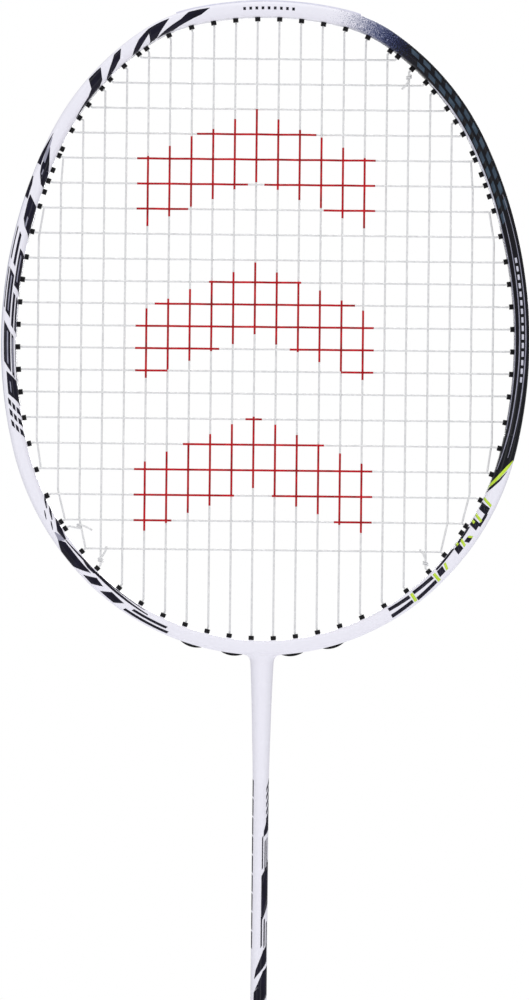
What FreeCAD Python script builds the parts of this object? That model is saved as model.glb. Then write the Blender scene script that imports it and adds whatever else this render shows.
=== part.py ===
import FreeCAD, Part
import math
import os
from collections import namedtuple

import Sketcher
from FreeCAD import Placement, Rotation, Vector

# Badminton racket, head up. +Z runs along the shaft from the butt to the top of the head,
# +X lies in the plane of the strings and Y is the normal of that plane. The origin is the
# centre of the flat butt face. All sizes are in millimetres and degrees.

DIMENSIONS = {
    # Head outline: outer edge of the frame, one half, as tangent arcs from the crown down.
    # Each *_turn is the direction of the outward normal, from +Z, where that arc ends.
    "head_top": 674.4,
    "crown_radius": 128.0,
    "crown_turn": 12.5,
    "shoulder_radius": 55.0,
    "shoulder_turn": 34.3,
    "upper_radius": 99.0,
    "upper_turn": 64.3,
    "side_radius": 173.5,
    "side_turn": 103.0,
    "lower_radius": 102.4,
    "lower_turn": 134.3,
    # Frame section: hollow, bevelled, with a string groove along its outer edge.
    "frame_width": 5.4,
    "frame_depth": 10.0,
    "frame_wall": 0.9,
    "hollow_side_wall": 1.4,
    "hollow_corner": 0.6,
    "outer_bevel": 1.2,
    "inner_bevel": 1.6,
    "groove_depth": 1.6,
    "groove_half": 1.45,
    "groove_flare": 0.25,
    # Neck, moulded with the frame.
    "neck_bottom": 404.0,
    "neck_lip_radius": 3.12,
    "neck_waist_height": 415.0,
    "neck_waist_radius": 3.5,
    "neck_top_height": 433.2,
    "neck_top_radius": 4.4,
    "throat_fillet": 2.2,
    "throat_half_depth": 4.6,
    "disc_overlap": 0.2,
    "disc_height": 2.0,
    "trim_half": 9.0,
    "trim_drop": 3.0,
    # Shaft and T-joint.
    "shaft_radius": 3.0,
    "shaft_bore": 1.8,
    "shaft_bottom": 110.0,
    "shaft_top": 428.0,
    "joint_leg_bottom": 385.0,
    "joint_arm_turn": 9.4,
    "joint_clearance": 0.1,
    "joint_socket_depth": 3.2,
    # Grommets: barrel, bore and flange, and how far the barrel stands inside the frame.
    "barrel_radius": 1.0,
    "bore_radius": 0.72,
    "flange_radius": 1.35,
    "flange_thickness": 0.4,
    "barrel_stand": 1.5,
    "hole_play": 0.02,
    "drill_overrun": 0.5,
    # Throat strips and top guard strip.
    "strip_half": 1.35,
    "hump_half_length": 4.1,
    "hump_rise": 1.0,
    "hump_channel": 0.76,
    "hump_roof_play": 0.1,
    "inner_hump_turn": 6.9,
    "outer_hump_turn": 16.4,
    "strip_start_turn": 1.9,
    "strip_end_turn": 20.6,
    "channel_start_turn": 8.0,
    "channel_end_turn": 1.9,
    "channel_proud": 0.05,
    "guard_thickness": 0.6,
    "guard_half": 2.6,
    "guard_turn": 19.3,
    # Strings and how they are spaced.
    "string_radius": 0.34,
    "layer_offset": 0.345,
    "outer_lane": 1.06,
    "lane_inset": 0.7,
    "lane_step": 7.0,
    "lead_length": 0.9,
    "bend_length": 4.0,
    "string_turn": 0.7,
    "lead_clearance": 0.15,
    "lead_bend_limit": 3.0,
    "run_bend_reach": 1.5,
    "run_bend_limit": 40.0,
    "knot_stand": 1.8,
    "main_spacing": 8.0,
    "first_cross": 653.5,
    "upper_cross_gap": 9.28,
    "middle_cross_gap": 8.23,
    "lower_cross_gap": 9.42,
    "last_cross_gap": 10.6,
    "knot_radius": 1.0,
    "knot_height": 1.6,
    "knot_play": 0.02,
    # Handle: half sizes of its octagon along X, and heights of each change.
    "cap_chamfer_half": 14.4,
    "cap_half": 15.0,
    "cap_neck_half": 13.6,
    "cap_skirt_half": 11.5,
    "core_half": 11.2,
    "core_tip_half": 5.4,
    "cone_half": 12.0,
    "cone_waist_half": 6.9,
    "cone_tip_half": 4.3,
    "grip_thickness": 1.8,
    "grip_top_half": 10.0,
    "tape_low_half": 11.7,
    "tape_rise_half": 10.4,
    "tape_step_half": 8.3,
    "tape_top_half": 6.4,
    "octagon_cut": 0.5,
    "handle_flattening": 1.3,
    "cone_flattening": 0.3,
    "tape_step_flattening": 0.48,
    "tape_top_flattening": 0.18,
    "cap_chamfer_height": 0.8,
    "cap_rim_height": 2.5,
    "cap_plate": 3.0,
    "cap_top": 15.0,
    "grip_shoulder": 158.0,
    "core_top": 160.0,
    "tape_bottom": 168.0,
    "grip_top": 176.0,
    "tape_step": 180.0,
    "cone_waist": 184.0,
    "core_tip_height": 188.0,
    "tape_top": 190.0,
    "cone_top": 202.0,
    "core_cavity_radius": 4.5,
    "core_cavity_top": 100.0,
    "badge_radius": 7.0,
    "badge_thickness": 0.8,
    "staple_wire": 0.8,
    "staple_crown": 8.8,
    "staple_leg": 7.0,
    "staple_height": 9.0,
    "staple_reach": 12.4,
}

MAINS_PER_SIDE = 11
CROSSES = 21
CROSS_GAP_COUNTS = (("upper_cross_gap", 8), ("middle_cross_gap", 6),
                    ("lower_cross_gap", 5), ("last_cross_gap", 1))
# Heights of the unused grommets, where they open inside the frame.
SPARE_LEVELS = (619.5, 611.7, 603.6, 479.4)
# Crosses that share a grommet with a main: main number -> cross number.
SHARED_AT_TOP = {10: 5, 11: 7}
SHARED_AT_BOTTOM = {9: 21, 10: 20, 11: 18}
STRIP_MAINS = (1, 2, 3, 4)
# Order in which each half of the main string fills its mains, and the mains it is tied to.
MAIN_ORDER = (1, 2, 3, 4, 5, 6, 7, 8, 11, 10, 9)
LOOSE_LANE = (8, 11)
MAIN_KNOT = 8
CROSS_KNOT_TOP = 7
CROSS_KNOT_BOTTOM = 9
# Loose ends beyond each knot: along X, Y and Z.
MAIN_TAIL = (2.2, -1.3, 5.2)
CROSS_TAIL_TOP = (-3.0, -1.2, -4.4)
CROSS_TAIL_BOTTOM = (5.6, -1.1, -2.6)

document = FreeCAD.newDocument("badminton_racket")
sheet = document.addObject("Spreadsheet::Sheet", "dims")


def fill_sheet(values):
    for row, (alias, value) in enumerate(values.items(), start=1):
        sheet.set("A%d" % row, alias)
        sheet.set("B%d" % row, repr(float(value)))
        sheet.setAlias("B%d" % row, alias)
    document.recompute()


def dim(alias):
    return float(sheet.get(alias))


def closing_radius(values):
    """Radius of the bottom arc that brings the outline back to the centre line."""
    names = ("crown", "shoulder", "upper", "side", "lower")
    reach = 0.0
    start = 0.0
    for name in names:
        end = math.radians(values[name + "_turn"])
        reach += values[name + "_radius"] * (math.sin(end) - math.sin(start))
        start = end
    return reach / math.sin(start)


DIMENSIONS["bottom_radius"] = closing_radius(DIMENSIONS)
DIMENSIONS["bottom_turn"] = 180.0
fill_sheet(DIMENSIONS)


# ---------------------------------------------------------------- outline of the head

OutlineArc = namedtuple("OutlineArc", "name x z radius start end")


def outline_arcs():
    """The right half of the outer edge, as arcs with their centres and normal directions."""
    arcs = []
    x = 0.0
    z = dim("head_top") - dim("crown_radius")
    start = 0.0
    previous = dim("crown_radius")
    for name in ("crown", "shoulder", "upper", "side", "lower", "bottom"):
        radius = dim(name + "_radius")
        turn = math.radians(start)
        x += (previous - radius) * math.sin(turn)
        z += (previous - radius) * math.cos(turn)
        end = dim(name + "_turn")
        arcs.append(OutlineArc(name, x, z, radius, start, end))
        start = end
        previous = radius
    return arcs


ARCS = outline_arcs()


def outline_point(angle, inset, side=1, y=0.0):
    """Point at a normal direction, measured inwards from the outer edge."""
    arc = next(a for a in ARCS if angle <= a.end)
    turn = math.radians(angle)
    x = arc.x + (arc.radius - inset) * math.sin(turn)
    return Vector(side * x, y, arc.z + (arc.radius - inset) * math.cos(turn))


def angle_at_x(x, inset, upper):
    """Normal direction where the inset outline passes a distance from the centre line."""
    for arc in ARCS:
        ratio = (x - arc.x) / (arc.radius - inset)
        if abs(ratio) > 1.0:
            continue
        angle = math.degrees(math.asin(ratio))
        if not upper:
            angle = 180.0 - angle
        if arc.start <= angle <= arc.end:
            return angle
    raise ValueError("the outline never reaches x = %s" % x)


def angle_at_z(z, inset):
    """Normal direction where the inset outline passes a height."""
    for arc in ARCS:
        ratio = (z - arc.z) / (arc.radius - inset)
        if abs(ratio) > 1.0:
            continue
        angle = math.degrees(math.acos(ratio))
        if arc.start <= angle <= arc.end:
            return angle
    raise ValueError("the outline never reaches z = %s" % z)


# ---------------------------------------------------------------- document helpers


def new_body(label):
    body = document.addObject("PartDesign::Body", label)
    body.Label = label
    return body


def new_sketch(body, name, role, offset=None):
    sketch = body.newObject("Sketcher::SketchObject", name)
    plane = next(f for f in body.Origin.OriginFeatures if f.Role == role)
    sketch.AttachmentSupport = [(plane, "")]
    sketch.MapMode = "FlatFace"
    sketch.AttachmentOffset = offset or Placement()
    return sketch


def evaluate(owner, expression):
    return float(owner.evalExpression(expression))


def add_polygon(sketch, corners):
    """Closed polygon whose corner coordinates are expressions of the sheet."""
    first = sketch.GeometryCount
    points = [Vector(evaluate(sketch, x), evaluate(sketch, y), 0) for x, y in corners]
    count = len(points)
    for index, point in enumerate(points):
        sketch.addGeometry(Part.LineSegment(point, points[(index + 1) % count]), False)
    for index in range(count):
        follower = first + (index + 1) % count
        sketch.addConstraint(Sketcher.Constraint("Coincident", first + index, 2, follower, 1))
    for index, (corner, point) in enumerate(zip(corners, points)):
        bind_point(sketch, first + index, corner, point)


def bind_point(sketch, geometry, corner, point):
    """Ties the start of a line to its two coordinate expressions."""
    rules = (("DistanceX", corner[0], point.x, -2), ("DistanceY", corner[1], point.y, -1))
    for kind, expression, value, axis in rules:
        if abs(value) < 1e-9:
            sketch.addConstraint(Sketcher.Constraint("PointOnObject", geometry, 1, axis))
            continue
        index = sketch.addConstraint(Sketcher.Constraint(kind, -1, 1, geometry, 1, value))
        sketch.setExpression("Constraints[%d]" % index, expression)


def revolve(body, name, sketch, angle, subtract=False):
    """Revolution or Groove of a sketch, spread equally to both sides of its plane."""
    kind = "PartDesign::Groove" if subtract else "PartDesign::Revolution"
    feature = body.newObject(kind, name)
    feature.Profile = sketch
    feature.ReferenceAxis = (sketch, ["V_Axis"])
    feature.Midplane = True
    feature.Angle = evaluate(sketch, angle)
    feature.setExpression("Angle", angle)
    return feature


def full_turn(body, name, sketch, subtract=False):
    """Revolution or Groove of a sketch all the way round its vertical axis."""
    kind = "PartDesign::Groove" if subtract else "PartDesign::Revolution"
    feature = body.newObject(kind, name)
    feature.Profile = sketch
    feature.ReferenceAxis = (sketch, ["V_Axis"])
    feature.Angle = 360
    return feature


def bind(feature, **expressions):
    for name, expression in expressions.items():
        feature.setExpression(name, expression)
    return feature


def boolean(kind, label, base, tool):
    feature = document.addObject("Part::" + kind, label)
    feature.Label = label
    feature.Base = base
    feature.Tool = tool
    return feature


def fuse_all(label, shapes):
    feature = document.addObject("Part::MultiFuse", label)
    feature.Label = label
    feature.Shapes = shapes
    return feature


def shape_feature(label, shape):
    feature = document.addObject("Part::Feature", label)
    feature.Label = label
    feature.Shape = shape
    return feature


# ---------------------------------------------------------------- sectors of the head


def sector_placement(arc, angle, side):
    """Plane through the arc's centre whose X axis points along a normal direction."""
    turn = angle if side > 0 else -angle
    return Placement(Vector(side * arc.x, 0, arc.z), Rotation(Vector(0, 1, 0), turn - 90.0))


def add_sector(body, name, arc, rings, side, start=None, end=None, subtract=False):
    """Revolves section rings about an outline arc's centre, from start to end.

    The rings' corners are (inset, depth) expressions: inset is measured inwards
    from the outer edge. start and end are expressions of the normal direction.
    """
    start = start or repr(arc.start)
    end = end or "dims.%s_turn" % arc.name
    middle = (evaluate(sheet, start) + evaluate(sheet, end)) / 2.0
    placement = sector_placement(arc, middle, side)
    sketch = new_sketch(body, name + "_section", "XY_Plane", placement)
    for ring in rings:
        corners = [("dims.%s_radius - (%s)" % (arc.name, u), v) for u, v in ring]
        add_polygon(sketch, corners)
    return revolve(body, name, sketch, "(%s) - (%s)" % (end, start), subtract)


def ring_sectors(body, prefix, rings, arcs, limit=None):
    """Sectors on both sides; the crown and the bottom arc each make one sector."""
    for arc in arcs:
        end = limit if arc is arcs[-1] else None
        if arc.name == "crown":
            add_sector(body, prefix + "_crown", arc, rings, 1, start="-dims.crown_turn")
        elif arc.name == "bottom":
            add_sector(body, prefix + "_bottom", arc, rings, 1, start="dims.lower_turn",
                       end="360 - dims.lower_turn")
        else:
            for side, word in ((1, "right"), (-1, "left")):
                add_sector(body, "%s_%s_%s" % (prefix, arc.name, word), arc, rings, side,
                           start="dims.%s_turn" % arc_before(arc), end=end)


def arc_before(arc):
    names = [a.name for a in ARCS]
    return names[names.index(arc.name) - 1]


def mirrored(half):
    """Full ring of section corners from the half with positive depth."""
    return half + [(u, "-(%s)" % v) for u, v in reversed(half)]


def hollow_ring(gap):
    """Section of the hollow inside the frame, drawn back from its walls by a gap."""
    floor = "dims.groove_depth + dims.frame_wall + " + gap
    roof = "dims.frame_width - dims.frame_wall - " + gap
    side = "dims.frame_depth / 2 - dims.hollow_side_wall - " + gap
    return mirrored([
        (floor, side + " - dims.hollow_corner"),
        (floor + " + dims.hollow_corner", side),
        (roof + " - dims.hollow_corner", side),
        (roof, side + " - dims.hollow_corner"),
    ])


def frame_section():
    """Outer ring with its groove and bevels, and the ring of the hollow inside."""
    half_depth = "dims.frame_depth / 2"
    outer = [
        ("dims.groove_depth", "dims.groove_half"),
        ("0", "dims.groove_half + dims.groove_flare"),
        ("0", half_depth + " - dims.outer_bevel"),
        ("dims.outer_bevel", half_depth),
        ("dims.frame_width - dims.inner_bevel", half_depth),
        ("dims.frame_width", half_depth + " - dims.inner_bevel"),
    ]
    return [mirrored(outer), hollow_ring("0")]


def neck_profile(body):
    """Half section of the tapered neck and of the disc that meets the head."""
    sketch = new_sketch(body, "neck_profile", "XZ_Plane")
    disc = "dims.neck_top_radius + dims.throat_fillet + dims.disc_overlap"
    roof = "dims.neck_top_height + dims.disc_height"
    add_polygon(sketch, [
        ("0", "dims.neck_bottom"),
        ("dims.neck_lip_radius", "dims.neck_bottom"),
        ("dims.neck_waist_radius", "dims.neck_waist_height"),
        ("dims.neck_top_radius", "dims.neck_top_height"),
        (disc, "dims.neck_top_height"),
        (disc, roof),
        ("0", roof),
    ])
    return sketch


def fillet_throat(body, neck):
    """Rounds the inner corner between the neck's side and the disc above it."""
    height = dim("neck_top_height")
    for number, edge in enumerate(neck.Shape.Edges, start=1):
        curve = edge.Curve
        if not isinstance(curve, Part.Circle):
            continue
        level = abs(curve.Center.z - height) < 1e-6
        if level and abs(curve.Radius - dim("neck_top_radius")) < 1e-6:
            fillet = body.newObject("PartDesign::Fillet", "throat_fillet")
            fillet.Base = (neck, ["Edge%d" % number])
            fillet.setExpression("Radius", "dims.throat_fillet")
            return fillet
    raise ValueError("the neck has no inner corner to round")


def trim_throat(body):
    """Cuts the flare back to a flat face in front and behind."""
    sketch = new_sketch(body, "throat_trim_outline", "XY_Plane")
    sketch.setExpression("AttachmentOffset.Base.z", "dims.neck_top_height - dims.trim_drop")
    for sign in ("", "-"):
        add_polygon(sketch, [
            ("-dims.trim_half", sign + "dims.throat_half_depth"),
            ("dims.trim_half", sign + "dims.throat_half_depth"),
            ("dims.trim_half", sign + "dims.trim_half"),
            ("-dims.trim_half", sign + "dims.trim_half"),
        ])
    pocket = body.newObject("PartDesign::Pocket", "throat_trim")
    pocket.Profile = sketch
    pocket.setExpression("Length", "dims.trim_half")
    pocket.Reversed = True
    return pocket


def bore_neck(body):
    """Socket for the shaft and the narrower way up for the T-joint's leg."""
    sketch = new_sketch(body, "neck_bore_profile", "XZ_Plane")
    hollow_floor = "dims.neck_top_height + dims.joint_socket_depth"
    add_polygon(sketch, [
        ("0", "dims.neck_bottom - 1"),
        ("dims.shaft_radius", "dims.neck_bottom - 1"),
        ("dims.shaft_radius", "dims.shaft_top"),
        ("dims.shaft_bore", "dims.shaft_top"),
        ("dims.shaft_bore", hollow_floor),
        ("0", hollow_floor),
    ])
    return full_turn(body, "neck_bore", sketch, subtract=True)


def build_frame_blank():
    """Frame and neck before the grommet holes are drilled."""
    body = new_body("frame_blank")
    neck = full_turn(body, "neck", neck_profile(body))
    document.recompute()
    fillet_throat(body, neck)
    trim_throat(body)
    ring_sectors(body, "frame", frame_section(), ARCS)
    half = "dims.groove_half"
    channel = mirrored([("-dims.channel_proud", half), ("dims.groove_depth", half)])
    for side, word in ((1, "right"), (-1, "left")):
        add_sector(body, "throat_channel_" + word, ARCS[-1], [channel], side,
                   start="180 - dims.channel_start_turn", end="180 - dims.channel_end_turn",
                   subtract=True)
    bore_neck(body)
    document.recompute()
    return body


# ---------------------------------------------------------------- grommet sites

Site = namedtuple("Site", "angle side")


def lead_inset():
    """How far in from the outer edge a string turns towards its grommet."""
    return dim("frame_width") + dim("barrel_stand") + dim("lead_length")


def main_x(number):
    return dim("main_spacing") * (number - 0.5)


def cross_z(number):
    gaps = [dim(name) for name, count in CROSS_GAP_COUNTS for _ in range(count)]
    return dim("first_cross") - sum(gaps[:number - 1])


def cross_site(number, side):
    return Site(angle_at_z(cross_z(number), lead_inset()), side)


def main_site(number, side, upper):
    shared = SHARED_AT_TOP if upper else SHARED_AT_BOTTOM
    if number in shared:
        return cross_site(shared[number], side)
    return Site(angle_at_x(main_x(number), lead_inset(), upper), side)


def spare_site(level, side):
    return Site(angle_at_z(level, dim("frame_width") + dim("barrel_stand") / 2), side)


def both_sides(make_site, keys, **options):
    return [make_site(key, side, **options) for key in keys for side in (1, -1)]


SHARED_CROSSES = sorted(list(SHARED_AT_TOP.values()) + list(SHARED_AT_BOTTOM.values()))
OWN_CROSSES = [n for n in range(1, CROSSES + 1) if n not in SHARED_CROSSES]
TOP_MAINS = [n for n in range(1, MAINS_PER_SIDE + 1) if n not in SHARED_AT_TOP]
BOTTOM_MAINS = [n for n in range(1, MAINS_PER_SIDE + 1)
                if n not in SHARED_AT_BOTTOM and n not in STRIP_MAINS]

GROMMET_GROUPS = {
    "main_grommets_top": both_sides(main_site, TOP_MAINS, upper=True),
    "main_grommets_bottom": both_sides(main_site, BOTTOM_MAINS, upper=False),
    "cross_grommets_right": [cross_site(n, 1) for n in OWN_CROSSES],
    "cross_grommets_left": [cross_site(n, -1) for n in OWN_CROSSES],
    "shared_grommets": both_sides(cross_site, SHARED_CROSSES),
    "spare_grommets": both_sides(spare_site, SPARE_LEVELS),
}
STRIP_SITES = {side: [main_site(n, side, upper=False) for n in STRIP_MAINS] for side in (1, -1)}


def site_placement(site):
    """Frame whose +Z points straight out of the head, with its origin on the outer edge."""
    turn = site.side * site.angle
    return Placement(outline_point(site.angle, 0.0, site.side), Rotation(Vector(0, 1, 0), turn))


def placed_copies(shape, sites):
    copies = []
    for site in sites:
        copy = shape.copy()
        copy.Placement = site_placement(site)
        copies.append(copy)
    return Part.makeCompound(copies)


def build_grommet():
    """One grommet: a tube whose flange sits on the floor of the string groove."""
    body = new_body("grommet")
    sketch = new_sketch(body, "grommet_section", "XZ_Plane")
    face = "-dims.groove_depth + dims.flange_thickness"
    tip = "-dims.frame_width - dims.barrel_stand"
    add_polygon(sketch, [
        ("dims.bore_radius", face),
        ("dims.flange_radius", face),
        ("dims.flange_radius", "-dims.groove_depth"),
        ("dims.barrel_radius", "-dims.groove_depth"),
        ("dims.barrel_radius", tip),
        ("dims.bore_radius", tip),
    ])
    full_turn(body, "grommet_tube", sketch)
    document.recompute()
    return body


def radial_cylinder(radius, outer_inset, inner_inset):
    """Cylinder along a site's axis between two insets from the outer edge."""
    length = inner_inset - outer_inset
    return Part.makeCylinder(radius, length, Vector(0, 0, -inner_inset), Vector(0, 0, 1))


def drill(label, blank, sites):
    """Cuts the grommet holes of some sites through a part."""
    radius = dim("barrel_radius") + dim("hole_play")
    overrun = dim("drill_overrun")
    drill_bit = radial_cylinder(radius, dim("groove_depth") - overrun, dim("frame_width") + overrun)
    holes = shape_feature(label + "_holes", placed_copies(drill_bit, sites))
    return boolean("Cut", label, blank, holes)


# ---------------------------------------------------------------- pieces of the head


def build_guard_strip():
    """Soft strip over the groove along the crown of the head."""
    body = new_body("top_guard_strip")
    section = mirrored([("-dims.guard_thickness", "dims.guard_half"), ("0", "dims.guard_half")])
    ring_sectors(body, "guard", [section], ARCS[:2], limit="dims.guard_turn")
    return body


def build_t_joint():
    """Arms that follow the hollow of the frame, on a leg that runs down into the shaft."""
    body = new_body("t_joint_blank")
    add_sector(body, "joint_arms", ARCS[-1], [hollow_ring("dims.joint_clearance")], 1,
               start="180 - dims.joint_arm_turn", end="180 + dims.joint_arm_turn")
    sketch = new_sketch(body, "joint_leg_profile", "XZ_Plane")
    leg_top = "dims.neck_top_height + dims.joint_socket_depth"
    add_polygon(sketch, [
        ("0", "dims.joint_leg_bottom"),
        ("dims.shaft_bore", "dims.joint_leg_bottom"),
        ("dims.shaft_bore", leg_top),
        ("0", leg_top),
    ])
    full_turn(body, "joint_leg", sketch)
    document.recompute()
    return drill("t_joint", body, STRIP_SITES[1][:2] + STRIP_SITES[-1][:2])


def hump_shape():
    """Lens over a pair of string holes, with a channel for the string below it."""
    half = dim("hump_half_length")
    depth = dim("groove_depth") - dim("flange_thickness") / 2
    left = Vector(-half, 0, 0)
    right = Vector(half, 0, 0)
    floor_left = Vector(-half, 0, -depth)
    floor_right = Vector(half, 0, -depth)
    outline = Part.Wire([
        Part.Arc(left, Vector(0, 0, dim("hump_rise")), right).toShape(),
        Part.LineSegment(right, floor_right).toShape(),
        Part.LineSegment(floor_right, floor_left).toShape(),
        Part.LineSegment(floor_left, left).toShape(),
    ])
    width = 2 * dim("strip_half")
    solid = Part.Face(outline).extrude(Vector(0, width, 0))
    solid.translate(Vector(0, -width / 2, 0))
    channel_width = 2 * dim("hump_channel")
    roof = dim("lane_inset") - dim("string_radius") - dim("hump_roof_play")
    floor = dim("groove_depth") - dim("flange_thickness")
    channel = Part.makeBox(4 * half, channel_width, floor - roof,
                           Vector(-2 * half, -channel_width / 2, -floor))
    return solid.cut(channel)


def build_throat_strip(label, side):
    """Grommet strip of the four inner mains: base, four tubes and two humps."""
    body = new_body(label + "_base")
    half = "dims.strip_half"
    section = mirrored([("dims.groove_depth - dims.flange_thickness", half),
                        ("dims.groove_depth", half)])
    add_sector(body, label + "_floor", ARCS[-1], [section], side,
               start="180 - dims.strip_end_turn", end="180 - dims.strip_start_turn")
    document.recompute()
    sites = STRIP_SITES[side]
    overlap = dim("flange_thickness") / 2
    overrun = dim("drill_overrun")
    face = dim("groove_depth") - dim("flange_thickness")
    tip = dim("frame_width") + dim("barrel_stand")
    tube = radial_cylinder(dim("barrel_radius"), dim("groove_depth") - overlap, tip)
    bore = radial_cylinder(dim("bore_radius"), face - overrun / 2, tip + overrun)
    tubes = shape_feature(label + "_tubes", placed_copies(tube, sites))
    bores = shape_feature(label + "_bores", placed_copies(bore, sites))
    hump_sites = [Site(180.0 - dim(name), side) for name in ("inner_hump_turn", "outer_hump_turn")]
    humps = shape_feature(label + "_humps", placed_copies(hump_shape(), hump_sites))
    solid = fuse_all(label + "_solid", [body, tubes, humps])
    return boolean("Cut", label, solid, bores)


def build_shaft():
    body = new_body("shaft")
    sketch = new_sketch(body, "shaft_section", "XZ_Plane")
    add_polygon(sketch, [
        ("dims.shaft_bore", "dims.shaft_bottom"),
        ("dims.shaft_radius", "dims.shaft_bottom"),
        ("dims.shaft_radius", "dims.shaft_top"),
        ("dims.shaft_bore", "dims.shaft_top"),
    ])
    full_turn(body, "shaft_tube", sketch)
    return body


# ---------------------------------------------------------------- strings

Corner = namedtuple("Corner", "point reach limit")


def turning(point):
    """Corner where a string comes out of a grommet into the groove."""
    return Corner(point, dim("string_turn"), dim("string_turn"))


def leading(point):
    """Corner just inside the head, where a string turns towards its grommet."""
    reach = dim("lead_length") - dim("lead_clearance")
    return Corner(point, reach, dim("lead_bend_limit"))


def easing(point):
    """Slight bend in a run."""
    return Corner(point, dim("run_bend_reach"), dim("run_bend_limit"))


def exit_corner(site, y):
    return turning(outline_point(site.angle, dim("lane_inset"), site.side, y))


def lead_corner(site, y):
    return leading(outline_point(site.angle, lead_inset(), site.side, y))


def lane(start, end, y_start, y_end, y_between=None):
    """Run in the groove from one site's exit to another's, following the outline."""
    first = start.angle * start.side
    last = end.angle * end.side
    span = outline_point(start.angle, 0, start.side).distanceToPoint(
        outline_point(end.angle, 0, end.side))
    count = math.ceil(span / dim("lane_step"))
    corners = [exit_corner(start, y_start)]
    for index in range(1, count):
        share = index / count
        angle = first + (last - first) * share
        y = y_start + (y_end - y_start) * share if y_between is None else y_between
        side = 1 if angle >= 0 else -1
        corners.append(easing(outline_point(abs(angle), dim("lane_inset"), side, y)))
    corners.append(exit_corner(end, y_end))
    return corners


def main_run(number, side, downwards):
    """One main from grommet to grommet, bent where it shares a cross's grommet."""
    y = dim("layer_offset")
    corners = []
    for upper in (True, False):
        lead = lead_corner(main_site(number, side, upper), y)
        straight = side * main_x(number)
        if abs(lead.point.x - straight) < 0.01:
            corners.append([lead])
            continue
        step = -dim("bend_length") if upper else dim("bend_length")
        corners.append([lead, easing(Vector(straight, y, lead.point.z + step))])
    run = corners[0] + list(reversed(corners[1]))
    return run if downwards else list(reversed(run))


def half_main_route(side):
    """From the loop over the crown outwards to the knot beside main 8."""
    y = dim("layer_offset")
    route = []
    for index, number in enumerate(MAIN_ORDER):
        downwards = index % 2 == 0
        route += main_run(number, side, downwards)
        here = main_site(number, side, not downwards)
        if number == MAIN_ORDER[-1]:
            tie = main_site(MAIN_KNOT, side, upper=False)
            route += lane(here, tie, y, -y)
            continue
        following = MAIN_ORDER[index + 1]
        there = main_site(following, side, not downwards)
        skips_over = dim("outer_lane") if (number, following) == LOOSE_LANE else None
        route += lane(here, there, y, y, skips_over)
    knot = Vector(side * main_x(MAIN_KNOT), -y, main_knot_height())
    tail = knot + Vector(-side * MAIN_TAIL[0], *MAIN_TAIL[1:])
    return route + [lead_corner(tie, -y), easing(knot), easing(tail)]


def main_lead_height(number, upper):
    return outline_point(main_site(number, 1, upper).angle, lead_inset()).z


def main_knot_height():
    return main_lead_height(MAIN_KNOT, False) + dim("knot_stand")


def upper_cross_knot():
    """Where the cross string starts, beside the main it is tied to."""
    height = main_lead_height(CROSS_KNOT_TOP, True) - dim("knot_stand")
    return Vector(main_x(CROSS_KNOT_TOP), -dim("layer_offset"), height)


def main_route():
    """The whole main string, from its left tail over the crown to its right tail."""
    y = dim("layer_offset")
    crown = [exit_corner(main_site(1, side, upper=True), y) for side in (-1, 1)]
    return list(reversed(half_main_route(-1))) + crown + half_main_route(1)


def cross_route():
    """The whole cross string, from its knot at upper right to its knot at lower left."""
    y = -dim("layer_offset")
    tie = main_site(CROSS_KNOT_TOP, 1, upper=True)
    knot = upper_cross_knot()
    route = [easing(knot + Vector(*CROSS_TAIL_TOP)), easing(knot), lead_corner(tie, y)]
    route += lane(tie, cross_site(1, 1), y, y)
    for number in range(1, CROSSES + 1):
        start_side = 1 if number % 2 == 1 else -1
        here = cross_site(number, -start_side)
        route += [lead_corner(cross_site(number, start_side), y), lead_corner(here, y)]
        if number == CROSSES:
            there = spare_site(SPARE_LEVELS[-1], -1)
        else:
            there = cross_site(number + 1, -start_side)
        route += lane(here, there, y, y)
    last_knot = lower_cross_knot()
    tail = last_knot + Vector(*CROSS_TAIL_BOTTOM)
    return route + [lead_corner(there, y), easing(last_knot), easing(tail)]


def lower_cross_knot():
    spare = spare_site(SPARE_LEVELS[-1], -1)
    height = outline_point(spare.angle, lead_inset()).z
    return Vector(-main_x(CROSS_KNOT_BOTTOM), -dim("layer_offset"), height)


def rounded_edges(corners):
    """Straight runs joined by tangent arcs, each as large as its corner allows."""
    edges = []
    position = corners[0].point
    for index in range(1, len(corners) - 1):
        corner = corners[index]
        back = (corners[index - 1].point - corner.point).normalize()
        ahead = (corners[index + 1].point - corner.point).normalize()
        turn = math.pi - back.getAngle(ahead)
        if turn < 1e-4:
            continue
        radius = min(corner.limit, corner.reach / math.tan(turn / 2))
        setback = radius * math.tan(turn / 2)
        start = corner.point + back * setback
        end = corner.point + ahead * setback
        bisector = (back + ahead).normalize()
        middle = corner.point + bisector * (radius / math.cos(turn / 2) - radius)
        edges.append(Part.LineSegment(position, start).toShape())
        edges.append(Part.Arc(start, middle, end).toShape())
        position = end
    edges.append(Part.LineSegment(position, corners[-1].point).toShape())
    return edges


def sweep_string(corners):
    """Round string along a route of corners."""
    wire = Part.Wire(rounded_edges(corners))
    direction = corners[1].point - corners[0].point
    circle = Part.makeCircle(dim("string_radius"), corners[0].point, direction)
    return wire.makePipeShell([Part.Wire([circle])], True, False)


def knot_ring(knot):
    """Turns of a knot, as a ring round the main that passes behind the string's end."""
    height = dim("knot_height")
    base = Vector(knot.x, dim("layer_offset"), knot.z - height / 2)
    axis = Vector(0, 0, 1)
    outside = Part.makeCylinder(dim("knot_radius"), height, base, axis)
    inside = Part.makeCylinder(dim("string_radius") + dim("knot_play"), height, base, axis)
    return outside.cut(inside)


def build_string(label, corners, knots):
    solid = sweep_string(corners)
    length = sum(edge.Length for edge in rounded_edges(corners))
    section = math.pi * dim("string_radius") ** 2
    print("%s: length %.0f mm, volume / (section x length) = %.4f"
          % (label, length, solid.Volume / (section * length)))
    for knot in knots:
        solid = solid.fuse(knot_ring(knot))
    return shape_feature(label, solid)


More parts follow.
